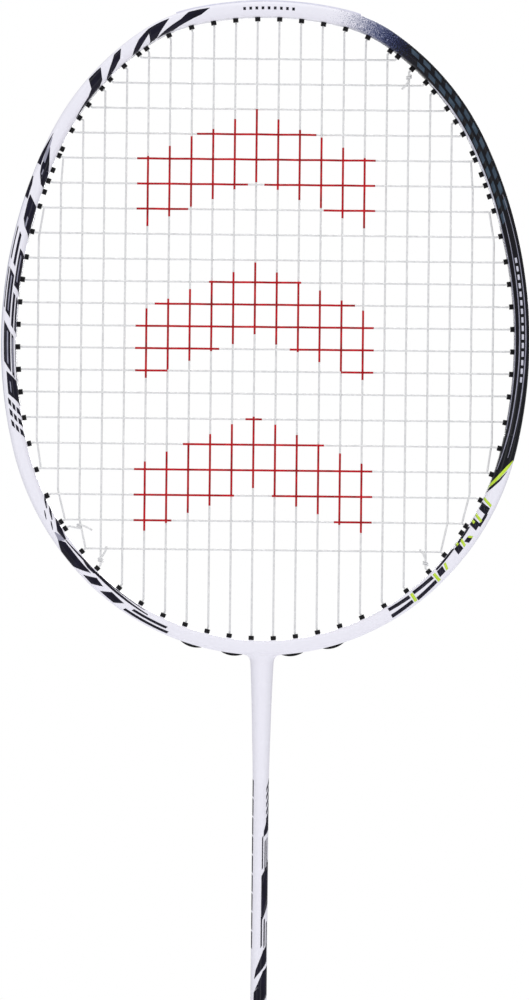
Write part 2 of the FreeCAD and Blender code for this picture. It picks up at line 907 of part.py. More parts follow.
# ---------------------------------------------------------------- handle


def octagon(label, height, half_x, flattening="dims.handle_flattening"):
    """Octagon sketch at a height: half size along X, and how much less it is along Y."""
    sketch = document.addObject("Sketcher::SketchObject", label)
    sketch.setExpression("Placement.Base.z", height)
    half_y = "(%s - %s)" % (half_x, flattening)
    cut = "%s * dims.octagon_cut" % half_y
    quarter = [("%s" % half_x, "%s - %s" % (half_y, cut)), ("%s - %s" % (half_x, cut), half_y)]
    corners = list(quarter)
    corners += [("-(%s)" % x, y) for x, y in reversed(quarter)]
    corners += [("-(%s)" % x, "-(%s)" % y) for x, y in quarter]
    corners += [(x, "-(%s)" % y) for x, y in reversed(quarter)]
    add_polygon(sketch, corners)
    return sketch


def loft(label, levels):
    """Straight-sided loft through octagons given as (height, half size[, flattening])."""
    feature = document.addObject("Part::Loft", label)
    sections = [octagon("%s_%d" % (label, index), *level) for index, level in enumerate(levels)]
    feature.Sections = sections
    feature.Solid = True
    feature.Ruled = True
    return feature


def cylinder(label, radius, bottom, top):
    feature = document.addObject("Part::Cylinder", label)
    return bind(feature, **{"Radius": radius, "Height": "(%s) - (%s)" % (top, bottom),
                            "Placement.Base.z": bottom})


def block(label, size, corner):
    feature = document.addObject("Part::Box", label)
    names = ("Length", "Width", "Height", "Placement.Base.x", "Placement.Base.y", "Placement.Base.z")
    return bind(feature, **dict(zip(names, size + corner)))


def build_staple(side, word):
    """Flat-wire staple through the cap's skirt into the wood."""
    wire = "dims.staple_wire"
    reach = "dims.staple_reach"
    low = "dims.staple_height - dims.staple_wire / 2"
    crown_x = "%s - %s" % (reach, wire) if side > 0 else "-" + reach
    leg_x = "%s - dims.staple_leg" % reach if side > 0 else "-" + reach
    pieces = [block("staple_crown_" + word, (wire, "dims.staple_crown", wire),
                    (crown_x, "-dims.staple_crown / 2", low))]
    for end, leg_y in (("front", "-dims.staple_crown / 2"),
                       ("back", "dims.staple_crown / 2 - dims.staple_wire")):
        pieces.append(block("staple_leg_%s_%s" % (word, end), ("dims.staple_leg", wire, wire),
                            (leg_x, leg_y, low)))
    return fuse_all("staple_" + word, pieces)


def build_handle():
    """Octagonal wooden core, cone, butt cap with its badge and staples, grip and tape."""
    cap = fuse_all("cap_envelope", [
        loft("cap_rim", [("0", "dims.cap_chamfer_half"),
                         ("dims.cap_chamfer_height", "dims.cap_half"),
                         ("dims.cap_rim_height", "dims.cap_half")]),
        loft("cap_skirt", [("dims.cap_rim_height", "dims.cap_neck_half"),
                           ("dims.cap_top", "dims.cap_skirt_half")]),
    ])
    core = loft("core_envelope", [("dims.cap_plate", "dims.core_half"),
                                  ("dims.core_top", "dims.core_half"),
                                  ("dims.core_tip_height", "dims.core_tip_half", "0")])
    cone = loft("cone_envelope", [("dims.core_top", "dims.cone_half"),
                                  ("dims.cone_waist", "dims.cone_waist_half",
                                   "dims.cone_flattening"),
                                  ("dims.cone_top", "dims.cone_tip_half", "0")])
    grip = loft("grip_envelope", [
        ("dims.cap_rim_height", "dims.cap_neck_half + dims.grip_thickness"),
        ("dims.cap_top", "dims.cap_skirt_half + dims.grip_thickness"),
        ("dims.grip_shoulder", "dims.core_half + dims.grip_thickness"),
        ("dims.grip_top", "dims.grip_top_half"),
    ])
    tape = loft("tape_envelope", [
        ("dims.tape_bottom", "dims.tape_low_half"),
        ("dims.grip_top", "dims.tape_rise_half"),
        ("dims.tape_step", "dims.tape_step_half", "dims.tape_step_flattening"),
        ("dims.tape_top", "dims.tape_top_half", "dims.tape_top_flattening"),
    ])
    badge = cylinder("butt_badge", "dims.badge_radius", "0", "dims.badge_thickness")
    shaft_way = cylinder("shaft_way", "dims.shaft_radius", "dims.shaft_bottom",
                         "dims.cone_top + 1")
    cavity = cylinder("core_cavity", "dims.core_cavity_radius", "dims.cap_plate",
                      "dims.core_cavity_top")
    staples = document.addObject("Part::Compound", "butt_staples")
    staples.Links = [build_staple(1, "right"), build_staple(-1, "left")]
    cap_tools = fuse_all("cap_tools", [core, badge, staples])
    core_tools = fuse_all("core_tools", [shaft_way, cavity, staples])
    cone_tools = fuse_all("cone_tools", [core, shaft_way])
    grip_tools = fuse_all("grip_tools", [cap, core, cone])
    tape_tools = fuse_all("tape_tools", [grip, cone])
    return {
        "butt_badge": badge,
        "butt_staples": staples,
        "butt_cap": boolean("Cut", "butt_cap", cap, cap_tools),
        "handle_core": boolean("Cut", "handle_core", core, core_tools),
        "handle_cone": boolean("Cut", "handle_cone", cone, cone_tools),
        "grip_wrap": boolean("Cut", "grip_wrap", grip, grip_tools),
        "finishing_tape": boolean("Cut", "finishing_tape", tape, tape_tools),
    }


# ---------------------------------------------------------------- assembly and export


def build_parts():
    frame_blank = build_frame_blank()
    grommet = build_grommet()
    all_sites = [site for sites in GROMMET_GROUPS.values() for site in sites]
    all_sites += STRIP_SITES[1] + STRIP_SITES[-1]
    parts = {
        "head_frame": drill("head_frame", frame_blank, all_sites),
        "t_joint": build_t_joint(),
        "shaft": build_shaft(),
        "top_guard_strip": build_guard_strip(),
        "throat_strip_right": build_throat_strip("throat_strip_right", 1),
        "throat_strip_left": build_throat_strip("throat_strip_left", -1),
    }
    for label, sites in GROMMET_GROUPS.items():
        parts[label] = shape_feature(label, placed_copies(grommet.Shape, sites))
    main_knots = [Vector(side * main_x(MAIN_KNOT), 0, main_knot_height()) for side in (1, -1)]
    cross_knots = [upper_cross_knot(), lower_cross_knot()]
    parts["main_string"] = build_string("main_string", main_route(), main_knots)
    parts["cross_string"] = build_string("cross_string", cross_route(), cross_knots)
    parts.update(build_handle())
    return parts


def check_document():
    """Stops if any object failed to compute or any solid is missing or invalid."""
    for item in document.Objects:
        if {"Invalid", "Error"} & set(item.State):
            raise RuntimeError("%s did not compute: %s" % (item.Name, item.State))
        shape = getattr(item, "Shape", None)
        if item.TypeId.startswith("Part") and shape is not None:
            if shape.isNull() or not shape.isValid():
                raise RuntimeError("%s has no valid shape" % item.Name)


def export(parts):
    os.makedirs("parts", exist_ok=True)
    for node, item in parts.items():
        if not item.Shape.Solids:
            raise RuntimeError("%s holds no solid" % node)
        item.Shape.exportStep("parts/%s.step" % node)
        print("%-22s solids %3d  volume %9.2f mm3"
              % (node, len(item.Shape.Solids), item.Shape.Volume))


racket_parts = build_parts()
document.recompute()
check_document()
export(racket_parts)
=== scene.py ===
from collections import namedtuple
from itertools import groupby
from math import acos, asin, ceil, copysign, cos, degrees, hypot, pi, radians, sin, sqrt

import bpy
from mathutils import Matrix, Vector


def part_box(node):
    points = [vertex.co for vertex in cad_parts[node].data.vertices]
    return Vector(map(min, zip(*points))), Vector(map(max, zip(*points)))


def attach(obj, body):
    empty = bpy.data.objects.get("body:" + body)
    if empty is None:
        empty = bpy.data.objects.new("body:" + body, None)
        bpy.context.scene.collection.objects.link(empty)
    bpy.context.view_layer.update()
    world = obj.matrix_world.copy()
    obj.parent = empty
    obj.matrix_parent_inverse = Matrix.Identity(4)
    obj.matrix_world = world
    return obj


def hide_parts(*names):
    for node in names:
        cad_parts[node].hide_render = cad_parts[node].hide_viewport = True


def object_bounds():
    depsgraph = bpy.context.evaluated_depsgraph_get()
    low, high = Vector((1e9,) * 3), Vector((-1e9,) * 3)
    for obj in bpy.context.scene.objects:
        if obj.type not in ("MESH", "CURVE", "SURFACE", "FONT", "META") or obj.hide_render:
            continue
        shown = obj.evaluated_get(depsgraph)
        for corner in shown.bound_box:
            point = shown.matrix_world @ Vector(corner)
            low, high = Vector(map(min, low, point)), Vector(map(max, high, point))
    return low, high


# A badminton racket, drawn in millimetres in the row frame and turned into metres when each
# mesh is made. +Z runs up the shaft to the head, +X lies in the plane of the strings and the
# camera looks along +Y.

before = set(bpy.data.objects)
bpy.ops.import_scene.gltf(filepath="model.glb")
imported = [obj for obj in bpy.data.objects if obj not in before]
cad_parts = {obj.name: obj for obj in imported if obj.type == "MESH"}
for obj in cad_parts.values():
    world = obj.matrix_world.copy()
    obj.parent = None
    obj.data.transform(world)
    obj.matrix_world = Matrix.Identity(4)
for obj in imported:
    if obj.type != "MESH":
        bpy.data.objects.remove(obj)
cad_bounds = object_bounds()

MM = 0.001


def add_object(name, data):
    item = bpy.data.objects.new(name, data)
    bpy.context.scene.collection.objects.link(item)
    return item


def turns(count):
    """Evenly spaced angles right round a circle."""
    return [2 * pi * index / count for index in range(count)]


def millimetres(node):
    """Lowest and highest corners of a CAD node."""
    low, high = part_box(node)
    return low / MM, high / MM


HEAD_TOP = millimetres("head_frame")[1].z
SHAFT_RADIUS = millimetres("shaft")[1].x
GRIP_LOW, GRIP_HIGH = millimetres("grip_wrap")
TAPE_LOW, TAPE_HIGH = millimetres("finishing_tape")
CONE_LOW, CONE_HIGH = millimetres("handle_cone")
BADGE_HIGH = millimetres("butt_badge")[1]

# Outer edge of the head, one half: radius of each tangent arc, and the direction of its
# outward normal from +Z, in degrees, where it ends.
OUTLINE = ((128, 12.5), (55, 34.3), (99, 64.3), (173.5, 103), (102.4, 134.3))
FRAME_WIDTH = 5.4
FRAME_DEPTH = 10
GROOVE_DEPTH = 1.6
GROOVE_HALF = 1.45
LIP_HALF = 1.7
OUTER_ROUND = 1.8
INNER_ROUND = 2.4

# Strings: the weave swings to WEAVE on either side, a layer lies at LAYER where it isn't woven,
# a lane runs in the groove, and a lead is where a string comes clear of its grommet.
STRING_RADIUS = 0.36
WEAVE = 0.36
LAYER = 0.345
OUTER_LANE = 1.06
LANE_INSET = 0.7
LEAD_INSET = 7.8
BARREL_INSET = 6.15
MAIN_SPACING = 8
MAINS_PER_SIDE = 11
FIRST_CROSS = 653.5
CROSS_GAPS = [9.28] * 8 + [8.23] * 6 + [9.42] * 5 + [10.6]
SHARED_AT_TOP = {10: 5, 11: 7}
SHARED_AT_BOTTOM = {9: 21, 10: 20, 11: 18}
LAST_SPARE = 479.4
MAIN_ORDER = (1, 2, 3, 4, 5, 6, 7, 8, 11, 10, 9)
# A main with a shared hole slants to it over the last BEND_LENGTH, and no string is woven
# within LEAD_CLEAR of a lead.
BEND_LENGTH = 11
LEAD_CLEAR = 3
WAVE_STEP = 1
KNOT_STAND = 1.8
KNOT_TURNS = 2
KNOT_SIDES = 12
KNOT_LENGTH = 1.5
KNOT_GAP = 0.02
TAIL_SAG = 0.5
BARREL_STOPS = (7, 4, 1.7)
LANE_TURN = 1
LANE_STEP = 1.5

# ---------- outline of the head

Arc = namedtuple("Arc", "x z radius start end travel")


def outline_arcs():
    """Arcs of the right half, with the distance along the edge where each one starts."""
    arcs = []
    reach = 0
    start = 0
    for radius, end in OUTLINE:
        reach += radius * (sin(radians(end)) - sin(radians(start)))
        start = end
    closing = reach / sin(radians(start))
    x = 0
    z = HEAD_TOP - OUTLINE[0][0]
    previous = OUTLINE[0][0]
    start = 0
    travel = 0
    for radius, end in OUTLINE + ((closing, 180),):
        turn = radians(start)
        x += (previous - radius) * sin(turn)
        z += (previous - radius) * cos(turn)
        arcs.append(Arc(x, z, radius, start, end, travel))
        travel += radius * radians(end - start)
        start = end
        previous = radius
    return arcs, travel


ARCS, HALF_EDGE = outline_arcs()


def edge_frame(travel):
    """Point of the outer edge at a distance along it from the crown, and its outward normal; a
    negative travel is the left side."""
    side = 1 if travel >= 0 else -1
    arc = [a for a in ARCS if a.travel <= abs(travel)][-1]
    turn = radians(arc.start) + (abs(travel) - arc.travel) / arc.radius
    normal = Vector((side * sin(turn), 0, cos(turn)))
    return Vector((side * arc.x, 0, arc.z)) + normal * arc.radius, normal


def outline_point(angle, inset, side=1, y=0):
    """Point whose outward normal has this direction, moved inwards by inset."""
    arc = next(a for a in ARCS if angle <= a.end)
    turn = radians(angle)
    x = arc.x + (arc.radius - inset) * sin(turn)
    return Vector((side * x, y, arc.z + (arc.radius - inset) * cos(turn)))


def meeting_angle(level, inset, axis, solve):
    """Direction where the outline, moved inwards by inset, meets a level of x or z."""
    for arc in ARCS:
        ratio = (level - getattr(arc, axis)) / (arc.radius - inset)
        if abs(ratio) <= 1:
            angle = degrees(solve(ratio))
            if arc.start <= angle <= arc.end:
                return angle
    raise ValueError("the outline never reaches %s = %s" % (axis, level))


def angle_at_x(x, inset, upper):
    return meeting_angle(x, inset, "x", asin if upper else lambda r: pi - asin(r))


def angle_at_z(z, inset):
    return meeting_angle(z, inset, "z", acos)


# ---------- section of the frame

LAND = FRAME_DEPTH / 2 - OUTER_ROUND - LIP_HALF
OUTER_ARC = OUTER_ROUND * pi / 2
FACE = FRAME_WIDTH - OUTER_ROUND - INNER_ROUND
INNER_ARC = INNER_ROUND * pi / 2
INNER_LAND = FRAME_DEPTH / 2 - INNER_ROUND
GIRTH = LAND + OUTER_ARC + FACE + INNER_ARC + INNER_LAND


def section_at(girth):
    """Inset, half depth, and the outward normal in those terms, at a distance round the
    section from the lip of the string groove."""
    half = FRAME_DEPTH / 2
    if girth <= LAND:
        return 0, LIP_HALF + girth, -1, 0
    girth -= LAND
    if girth <= OUTER_ARC:
        along = -cos(girth / OUTER_ROUND)
        up = sin(girth / OUTER_ROUND)
        return OUTER_ROUND * (1 + along), half - OUTER_ROUND * (1 - up), along, up
    girth -= OUTER_ARC
    if girth <= FACE:
        return OUTER_ROUND + girth, half, 0, 1
    girth -= FACE
    if girth <= INNER_ARC:
        along = sin(girth / INNER_ROUND)
        up = cos(girth / INNER_ROUND)
        return FRAME_WIDTH - INNER_ROUND * (1 - along), half - INNER_ROUND * (1 - up), along, up
    girth -= INNER_ARC
    return FRAME_WIDTH, half - INNER_ROUND - girth, 1, 0


def girth_at(inset):
    """Distance round the section for an inset seen from the front. Below 0 it goes on
    round the outer side, and above the frame's width round the inner side."""
    if inset < 0:
        return max(LAND + inset, 0)
    if inset < OUTER_ROUND:
        return LAND + OUTER_ROUND * acos(1 - inset / OUTER_ROUND)
    flat = LAND + OUTER_ARC
    if inset < FRAME_WIDTH - INNER_ROUND:
        return flat + inset - OUTER_ROUND
    bend = flat + FACE
    if inset < FRAME_WIDTH:
        return bend + INNER_ROUND * asin(1 - (FRAME_WIDTH - inset) / INNER_ROUND)
    return min(bend + INNER_ARC + inset - FRAME_WIDTH, GIRTH)


def frame_point(travel, girth, face, lift):
    """Point of the frame's surface, raised from it by lift."""
    edge, normal = edge_frame(travel)
    u, v, normal_u, normal_v = section_at(girth)
    inset = u + lift * normal_u
    depth = v + lift * normal_v
    return edge - normal * inset + Vector((0, face * depth, 0))


# ---------- surfaces


class Skin:
    """Surface of one piece while it is being drawn: points in millimetres, and faces."""

    def __init__(self):
        self.points = []
        self.faces = []

    def add_rings(self, rings, caps=(False, False), endless=False):
        """Surface through rings of points. caps says whether the first and the last ring are
        closed; an endless surface joins its last ring to its first."""
        first = len(self.points)
        columns = len(rings[0])
        for ring in rings:
            self.points.extend(ring)
        for row in range(len(rings) if endless else len(rings) - 1):
            here = first + row * columns
            there = first + (row + 1) % len(rings) * columns
            for column in range(columns):
                after = (column + 1) % columns
                self.faces.append((here + column, here + after, there + after, there + column))
        if caps[0]:
            self.faces.append(tuple(first + column for column in reversed(range(columns))))
        if caps[1]:
            self.faces.append(tuple(range(len(self.points) - columns, len(self.points))))

    def add_tube(self, line, radius, sides=8):
        """Round tube with closed ends along a line of points."""
        tangents = []
        for index in range(len(line)):
            before = line[max(index - 1, 0)]
            after = line[min(index + 1, len(line) - 1)]
            tangents.append((after - before).normalized())
        across = tangents[0].orthogonal().normalized()
        rings = []
        for point, tangent in zip(line, tangents):
            across = (across - tangent * across.dot(tangent)).normalized()
            other = tangent.cross(across)
            rings.append([point + (across * cos(turn) + other * sin(turn)) * radius
                          for turn in turns(sides)])
        self.add_rings(rings, caps=(True, True))

    def add_slab(self, rungs, columns, place):
        """Closed slab through rungs of (along, aside, along, aside), a pair for each end. place
        turns such a pair into a point of the slab's top, level 0, or of its root, level 1."""
        first = len(self.points)
        for level in (0, 1):
            for rung in rungs:
                for column in range(columns + 1):
                    pair = blend(rung[:2], rung[2:], column / columns)
                    self.points.append(place(*pair, level))
        width = columns + 1
        below = len(rungs) * width
        for row in range(len(rungs) - 1):
            for column in range(columns):
                corner = first + row * width + column
                quad = (corner, corner + 1, corner + width + 1, corner + width)
                self.faces.append(quad)
                self.faces.append(tuple(below + index for index in reversed(quad)))
        rim = list(range(width))
        rim += [row * width + columns for row in range(1, len(rungs))]
        rim += [below - width + column for column in reversed(range(columns))]
        rim += [row * width for row in reversed(range(1, len(rungs) - 1))]
        for corner, after in zip(rim, rim[1:] + rim[:1]):
            here = first + corner
            there = first + after
            self.faces.append((there, here, below + here, below + there))

    def finish(self, name, material, slot=None, replaces=None):
        """Smooth mesh in metres that rides with the racket."""
        mesh = bpy.data.meshes.new(name)
        mesh.from_pydata([tuple(c * MM for c in point) for point in self.points], [], self.faces)
        mesh.update()
        mesh.materials.append(MATERIALS[material])
        mesh.shade_smooth()
        piece = add_object(name, mesh)
        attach(piece, "root")
        if replaces:
            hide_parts(replaces)


def blend(start, end, share):
    """Numbers part of the way from one row to another."""
    return tuple(a + (b - a) * share for a, b in zip(start, end))


def fine_rows(rows, steps_between):
    """Rows with even steps added between them."""
    fine = [rows[0]]
    for start, end in zip(rows, rows[1:]):
        steps = steps_between(start, end)
        fine += [blend(start, end, step / steps) for step in range(1, steps + 1)]
    return fine


# ---------- materials


def linear_color(display):
    """Linear colour from three display values of 0 to 255."""
    def linear(value):
        value /= 255
        return value / 12.92 if value <= 0.04045 else ((value + 0.055) / 1.055) ** 2.4
    return (*(linear(value) for value in display), 1)


WHITE_PAINT = (240, 239, 248)
BLACK_PAINT = (12, 13, 20)
NAVY_PAINT = (38, 46, 86)
COAT_ROUGHNESS = 0.08
NOISE_LOW = 0.3
NOISE_HIGH = 0.7


class Shader:
    """A Principled material whose inputs are built up from procedural nodes."""

    def __init__(self, name, roughness, coat=0, metallic=0, specular=0.5):
        self.material = bpy.data.materials.new(name)
        self.material.use_nodes = True
        self.nodes = self.material.node_tree.nodes
        self.links = self.material.node_tree.links
        self.surface = self.nodes["Principled BSDF"]
        for socket, value in (("Roughness", roughness), ("Coat Weight", coat),
                              ("Coat Roughness", COAT_ROUGHNESS), ("Metallic", metallic),
                              ("Specular IOR Level", specular)):
            self.surface.inputs[socket].default_value = value
        self.coordinates = self.nodes.new("ShaderNodeTexCoord").outputs["Object"]

    def feed(self, socket, value):
        """A socket takes a plain value or another node's output."""
        if isinstance(value, bpy.types.NodeSocket):
            self.links.new(value, socket)
        else:
            socket.default_value = value

    def node(self, kind, **sockets):
        node = self.nodes.new("ShaderNode" + kind)
        for name, value in sockets.items():
            self.feed(node.inputs[name.replace("_", " ")], value)
        return node

    def noise(self, per_metre, detail=3, stretch=None):
        """Noise between 0 and 1, with its grain given per metre."""
        vector = self.coordinates
        if stretch:
            vector = self.node("Mapping", Vector=vector, Scale=stretch).outputs["Vector"]
        return self.node("TexNoise", Vector=vector, Scale=per_metre, Detail=detail).outputs["Fac"]

    def cells(self, per_metre):
        """Distance to the nearest of scattered points."""
        return self.node("TexVoronoi", Vector=self.coordinates, Scale=per_metre).outputs["Distance"]

    def ramp(self, source, stops):
        """Colour through stops of (position, display colour)."""
        node = self.node("ValToRGB", Fac=source)
        elements = node.color_ramp.elements
        while len(elements) < len(stops):
            elements.new(0.5)
        for element, (position, color) in zip(elements, stops):
            element.position = position
            element.color = linear_color(color)
        return node.outputs["Color"]

    def math(self, operation, *values):
        node = self.node("Math")
        node.operation = operation
        for socket, value in zip(node.inputs, values):
            self.feed(socket, value)
        return node.outputs["Value"]

    def color(self, output):
        self.feed(self.surface.inputs["Base Color"], output)

    def drift(self, source, dark, light):
        """Base colour that drifts between two close colours."""
        self.color(self.ramp(source, [(NOISE_LOW, dark), (NOISE_HIGH, light)]))

    def roughness(self, source, low, high):
        spread = self.node("MapRange", Value=source, To_Min=low, To_Max=high)
        self.feed(self.surface.inputs["Roughness"], spread.outputs["Result"])

    def bump(self, source, strength, distance):
        relief = self.node("Bump", Height=source, Strength=strength, Distance=distance)
        self.feed(self.surface.inputs["Normal"], relief.outputs["Normal"])


def varied(name, dark, light, roughness, grain=350, bump=0, **finish):
    """Material that drifts between two close colours, with an uneven gloss."""
    shader = Shader(name, roughness, **finish)
    noise = shader.noise(grain)
    shader.drift(noise, dark, light)
    shader.roughness(noise, roughness * 0.85, roughness * 1.2)
    if bump:
        shader.bump(shader.noise(grain * 8), bump, 0.0002)
    return shader.material


# The lacquer's colours by direction from the axis at FADE_HEIGHT metres, in degrees clockwise
# from the crown. Up to SPECKLE_END a speckle moves them by up to half of SPECKLE_SPREAD.
FADE_HEIGHT = 0.549
FADE = ((-180, WHITE_PAINT), (12.5, WHITE_PAINT), (16, (176, 177, 194)),
        (18.8, (92, 100, 134)), (21.5, NAVY_PAINT), (25, BLACK_PAINT), (114.9, BLACK_PAINT),
        (115.3, WHITE_PAINT))
SPECKLE_END = 40
SPECKLE_SPREAD = 16


def lacquer_material():
    """White lacquer that fades through speckled slate into black on the right of the head."""
    shader = Shader("white_to_black_lacquer", 0.26, specular=0.2)
    split = shader.node("SeparateXYZ", Vector=shader.coordinates)
    height = shader.math("SUBTRACT", split.outputs["Z"], FADE_HEIGHT)
    angle = shader.math("DEGREES", shader.math("ARCTAN2", split.outputs["X"], height))
    speckle = shader.math("SUBTRACT", shader.noise(2600, detail=1), 0.5)
    near_crown = shader.math("LESS_THAN", angle, SPECKLE_END)
    grain = shader.math("MULTIPLY", shader.math("MULTIPLY", speckle, near_crown), SPECKLE_SPREAD)
    place = shader.math("DIVIDE", shader.math("ADD", shader.math("ADD", angle, grain), 180), 360)
    shader.color(shader.ramp(place, [((turn + 180) / 360, color) for turn, color in FADE]))
    shader.roughness(shader.noise(120), 0.22, 0.32)
    return shader.material


def string_material():
    """White nylon with a slightly frosted, uneven coating."""
    shader = Shader("string_nylon", 0.42)
    frost = shader.noise(900)
    shader.drift(frost, (215, 216, 217), (236, 236, 236))
    shader.bump(frost, 0.25, 0.00008)
    return shader.material


def grip_material():
    """Black synthetic leather with a fine grain, and scattered small holes with painted shade in
    them.
    """
    shader = Shader("grip_leather", 0.62, specular=0.3)
    grain = shader.cells(900)
    holes = shader.cells(260)
    pits = shader.math("GREATER_THAN", holes, 0.16)
    tone = shader.ramp(grain, [(0, (18, 18, 21)), (0.8, (40, 41, 46))])
    mix = shader.node("Mix", Factor=pits)
    mix.data_type = "RGBA"
    # Near-black colour in the holes: painted shade.
    shader.feed(mix.inputs["A"], linear_color((5, 5, 6)))
    shader.feed(mix.inputs["B"], tone)
    shader.color(mix.outputs["Result"])
    shader.bump(shader.math("ADD", pits, shader.math("MULTIPLY", grain, 0.4)), 0.5, 0.0003)
    shader.roughness(grain, 0.5, 0.75)
    return shader.material


def wood_material():
    """Light hardwood with grain along the handle."""
    shader = Shader("core_wood", 0.6)
    rings = shader.noise(160, detail=6, stretch=(1, 1, 0.06))
    shader.drift(rings, (186, 150, 104), (222, 192, 146))
    shader.bump(rings, 0.2, 0.0003)
    return shader.material


# Darker and lighter colour, roughness, and what else differs from varied()'s own values.
PLAIN_MATERIALS = {
    "joint_alloy": ((150, 152, 156), (186, 188, 192), 0.4, {"metallic": 1, "bump": 0.15}),
    "grommet_nylon": ((8, 8, 10), (22, 22, 25), 0.45,
                      {"grain": 1800, "bump": 0.2, "specular": 0.15}),
    "guard_film": ((216, 216, 232), (230, 230, 242), 0.35, {"grain": 500}),
    "string_ink": ((150, 0, 10), (206, 2, 24), 0.42, {"grain": 260, "specular": 0.2}),
    "dark_ink": ((12, 11, 24), (24, 22, 42), 0.2, {"grain": 240, "specular": 0.2}),
    "black_ink": (BLACK_PAINT, (17, 18, 26), 0.26, {"grain": 120, "specular": 0.2}),
    # This grey is drawn only as painted highlights: fine lines over dark paint.
    "painted_highlight_grey": ((128, 128, 148), (160, 160, 178), 0.26, {"grain": 240, "coat": 0.3}),
    # This silver draws printed ticks, and also painted shade and painted highlight along the frame's
    # edges.
    "silver_print_and_painted_light": ((192, 193, 208), (214, 215, 228), 0.3, {"grain": 240, "coat": 0.3}),
    "lime_ink": ((186, 220, 30), (206, 236, 60), 0.26, {"grain": 240, "coat": 0.3}),
    "slate_ink": ((46, 61, 76), (64, 81, 97), 0.24, {"grain": 300, "specular": 0.2}),
    "cone_plastic": ((228, 228, 235), (240, 240, 246), 0.3, {"coat": 0.3}),
    "cap_plastic": ((22, 22, 26), (36, 36, 40), 0.5, {"grain": 900, "bump": 0.3}),
    "badge_film": ((150, 155, 166), (186, 190, 200), 0.3, {"grain": 200, "metallic": 0.7}),
    "tape_vinyl": ((20, 20, 24), (36, 36, 42), 0.34, {"grain": 220, "bump": 0.35}),
    "staple_steel": ((150, 150, 152), (188, 188, 190), 0.35, {"metallic": 1}),
}
MATERIALS = {name: varied(name, dark, light, roughness, **finish)
             for name, (dark, light, roughness, finish) in PLAIN_MATERIALS.items()}
MATERIALS["frame_paint"] = lacquer_material()
MATERIALS["shaft_paint"] = varied("shaft_lacquer", (237, 236, 245), WHITE_PAINT, 0.26, specular=0.2)
MATERIALS["string_nylon"] = string_material()
MATERIALS["core_wood"] = wood_material()
MATERIALS["grip_polyurethane"] = grip_material()

CAD_MATERIALS = {
    "shaft": "shaft_paint", "t_joint": "joint_alloy", "top_guard_strip": "guard_film",
    "butt_staples": "staple_steel", "handle_core": "core_wood",
}


def paint_cad_nodes():
    """The CAD nodes that stay in view: the grommets and throat strips are all of one nylon."""
    for node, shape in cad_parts.items():
        moulded = "grommets" in node or "throat_strip" in node
        if moulded or node in CAD_MATERIALS:
            for place in shape.material_slots:
                place.material = MATERIALS["grommet_nylon" if moulded else CAD_MATERIALS[node]]


# ---------- frame and neck


HEAD_STEP = 1.9
LIP_EASE = 0.12
LIP_SLOPE = 0.08
OUTER_STEPS = 8
INNER_STEPS = 9


def section_ring():
    """(inset, depth) corners right round the frame's section, groove included."""
    half = [(GROOVE_DEPTH, 0), (GROOVE_DEPTH, GROOVE_HALF), (LIP_EASE, LIP_HALF - LIP_SLOPE)]
    steps = [0, LAND / 2]
    steps += [LAND + OUTER_ARC * index / OUTER_STEPS for index in range(OUTER_STEPS + 1)]
    steps += [LAND + OUTER_ARC + FACE / 2]
    bend = LAND + OUTER_ARC + FACE
    steps += [bend + INNER_ARC * index / INNER_STEPS for index in range(INNER_STEPS + 1)]
    half += [section_at(girth)[:2] for girth in steps]
    half.append((FRAME_WIDTH, 0))
    return half + [(u, -v) for u, v in reversed(half[1:-1])]


def add_head(skin):
    """The ring of the head, swept round its outline."""
    section = section_ring()
    rings = []
    count = round(2 * HALF_EDGE / HEAD_STEP)
    for index in range(count):
        edge, normal = edge_frame(-HALF_EDGE + 2 * HALF_EDGE * index / count)
        rings.append([edge - normal * u + Vector((0, v, 0)) for u, v in section])
    skin.add_rings(rings, endless=True)


# (height, radius) up the neck, which starts NECK_ROOT lower, SHAFT_SINK inside the shaft. At
# the throat it flares through a fillet and ends THROAT_SINK inside the head.
NECK_LEVELS = ((389.5, 3.02), (396, 3.14), (404, 3.36), (415, 3.65), (424, 3.98), (431, 4.3))
NECK_COLUMNS = 40
NECK_ROOT = 5
SHAFT_SINK = 0.03
THROAT_HEIGHT = 433.6
THROAT_SINK = 1.3
THROAT_SPREAD = 0.4
THROAT_FILLET = 2.6
THROAT_STEPS = 9
THROAT_LEDGE = 0.1
THROAT_DEPTH = 4.6
SQUARE_GAIN = 1.2
SQUARE_REACH = 2.5


def neck_rows():
    """(height, half width, half depth) up the neck and out along the throat's fillet."""
    root = SHAFT_RADIUS - SHAFT_SINK
    rows = [(NECK_LEVELS[0][0] - NECK_ROOT, root, root)]
    rows += [(z, radius, radius) for z, radius in NECK_LEVELS]
    top, radius = NECK_LEVELS[-1]
    for index in range(1, THROAT_STEPS + 1):
        turn = pi / 2 * index / THROAT_STEPS
        flare = THROAT_FILLET * (1 - cos(turn))
        depth = radius + (THROAT_DEPTH - radius) * index / THROAT_STEPS
        z = top + THROAT_FILLET * sin(turn)
        rows.append((z, radius + THROAT_LEDGE + flare, depth))
    rows.append((THROAT_HEIGHT + THROAT_SINK, rows[-1][1] + THROAT_SPREAD, THROAT_DEPTH))
    return rows


def add_neck(skin):
    """Tapered neck that grows out of the shaft, round at first and squarer at the throat."""
    rings = []
    for z, half_x, half_y in neck_rows():
        share = max(0, min(1, (half_x - NECK_LEVELS[-1][1]) / SQUARE_REACH))
        power = 2 / (2 + SQUARE_GAIN * share)
        ring = []
        for turn in turns(NECK_COLUMNS):
            cosine = cos(turn)
            sine = sin(turn)
            x = half_x * copysign(abs(cosine) ** power, cosine)
            y = half_y * copysign(abs(sine) ** power, sine)
            ring.append(Vector((x, y, z)))
        rings.append(ring)
    skin.add_rings(rings, caps=(False, True))


def build_frame():
    """Head and neck, painted as one."""
    skin = Skin()
    add_head(skin)
    add_neck(skin)
    skin.finish("frame_shell", "frame_paint", replaces="head_frame")


# ---------- painted strokes

# How far a stroke stands proud, how much more each next one does, and how deep its root is.
DECAL_LIFT = 0.035
DECAL_STAGGER = 0.012
DECAL_ROOT = -0.03
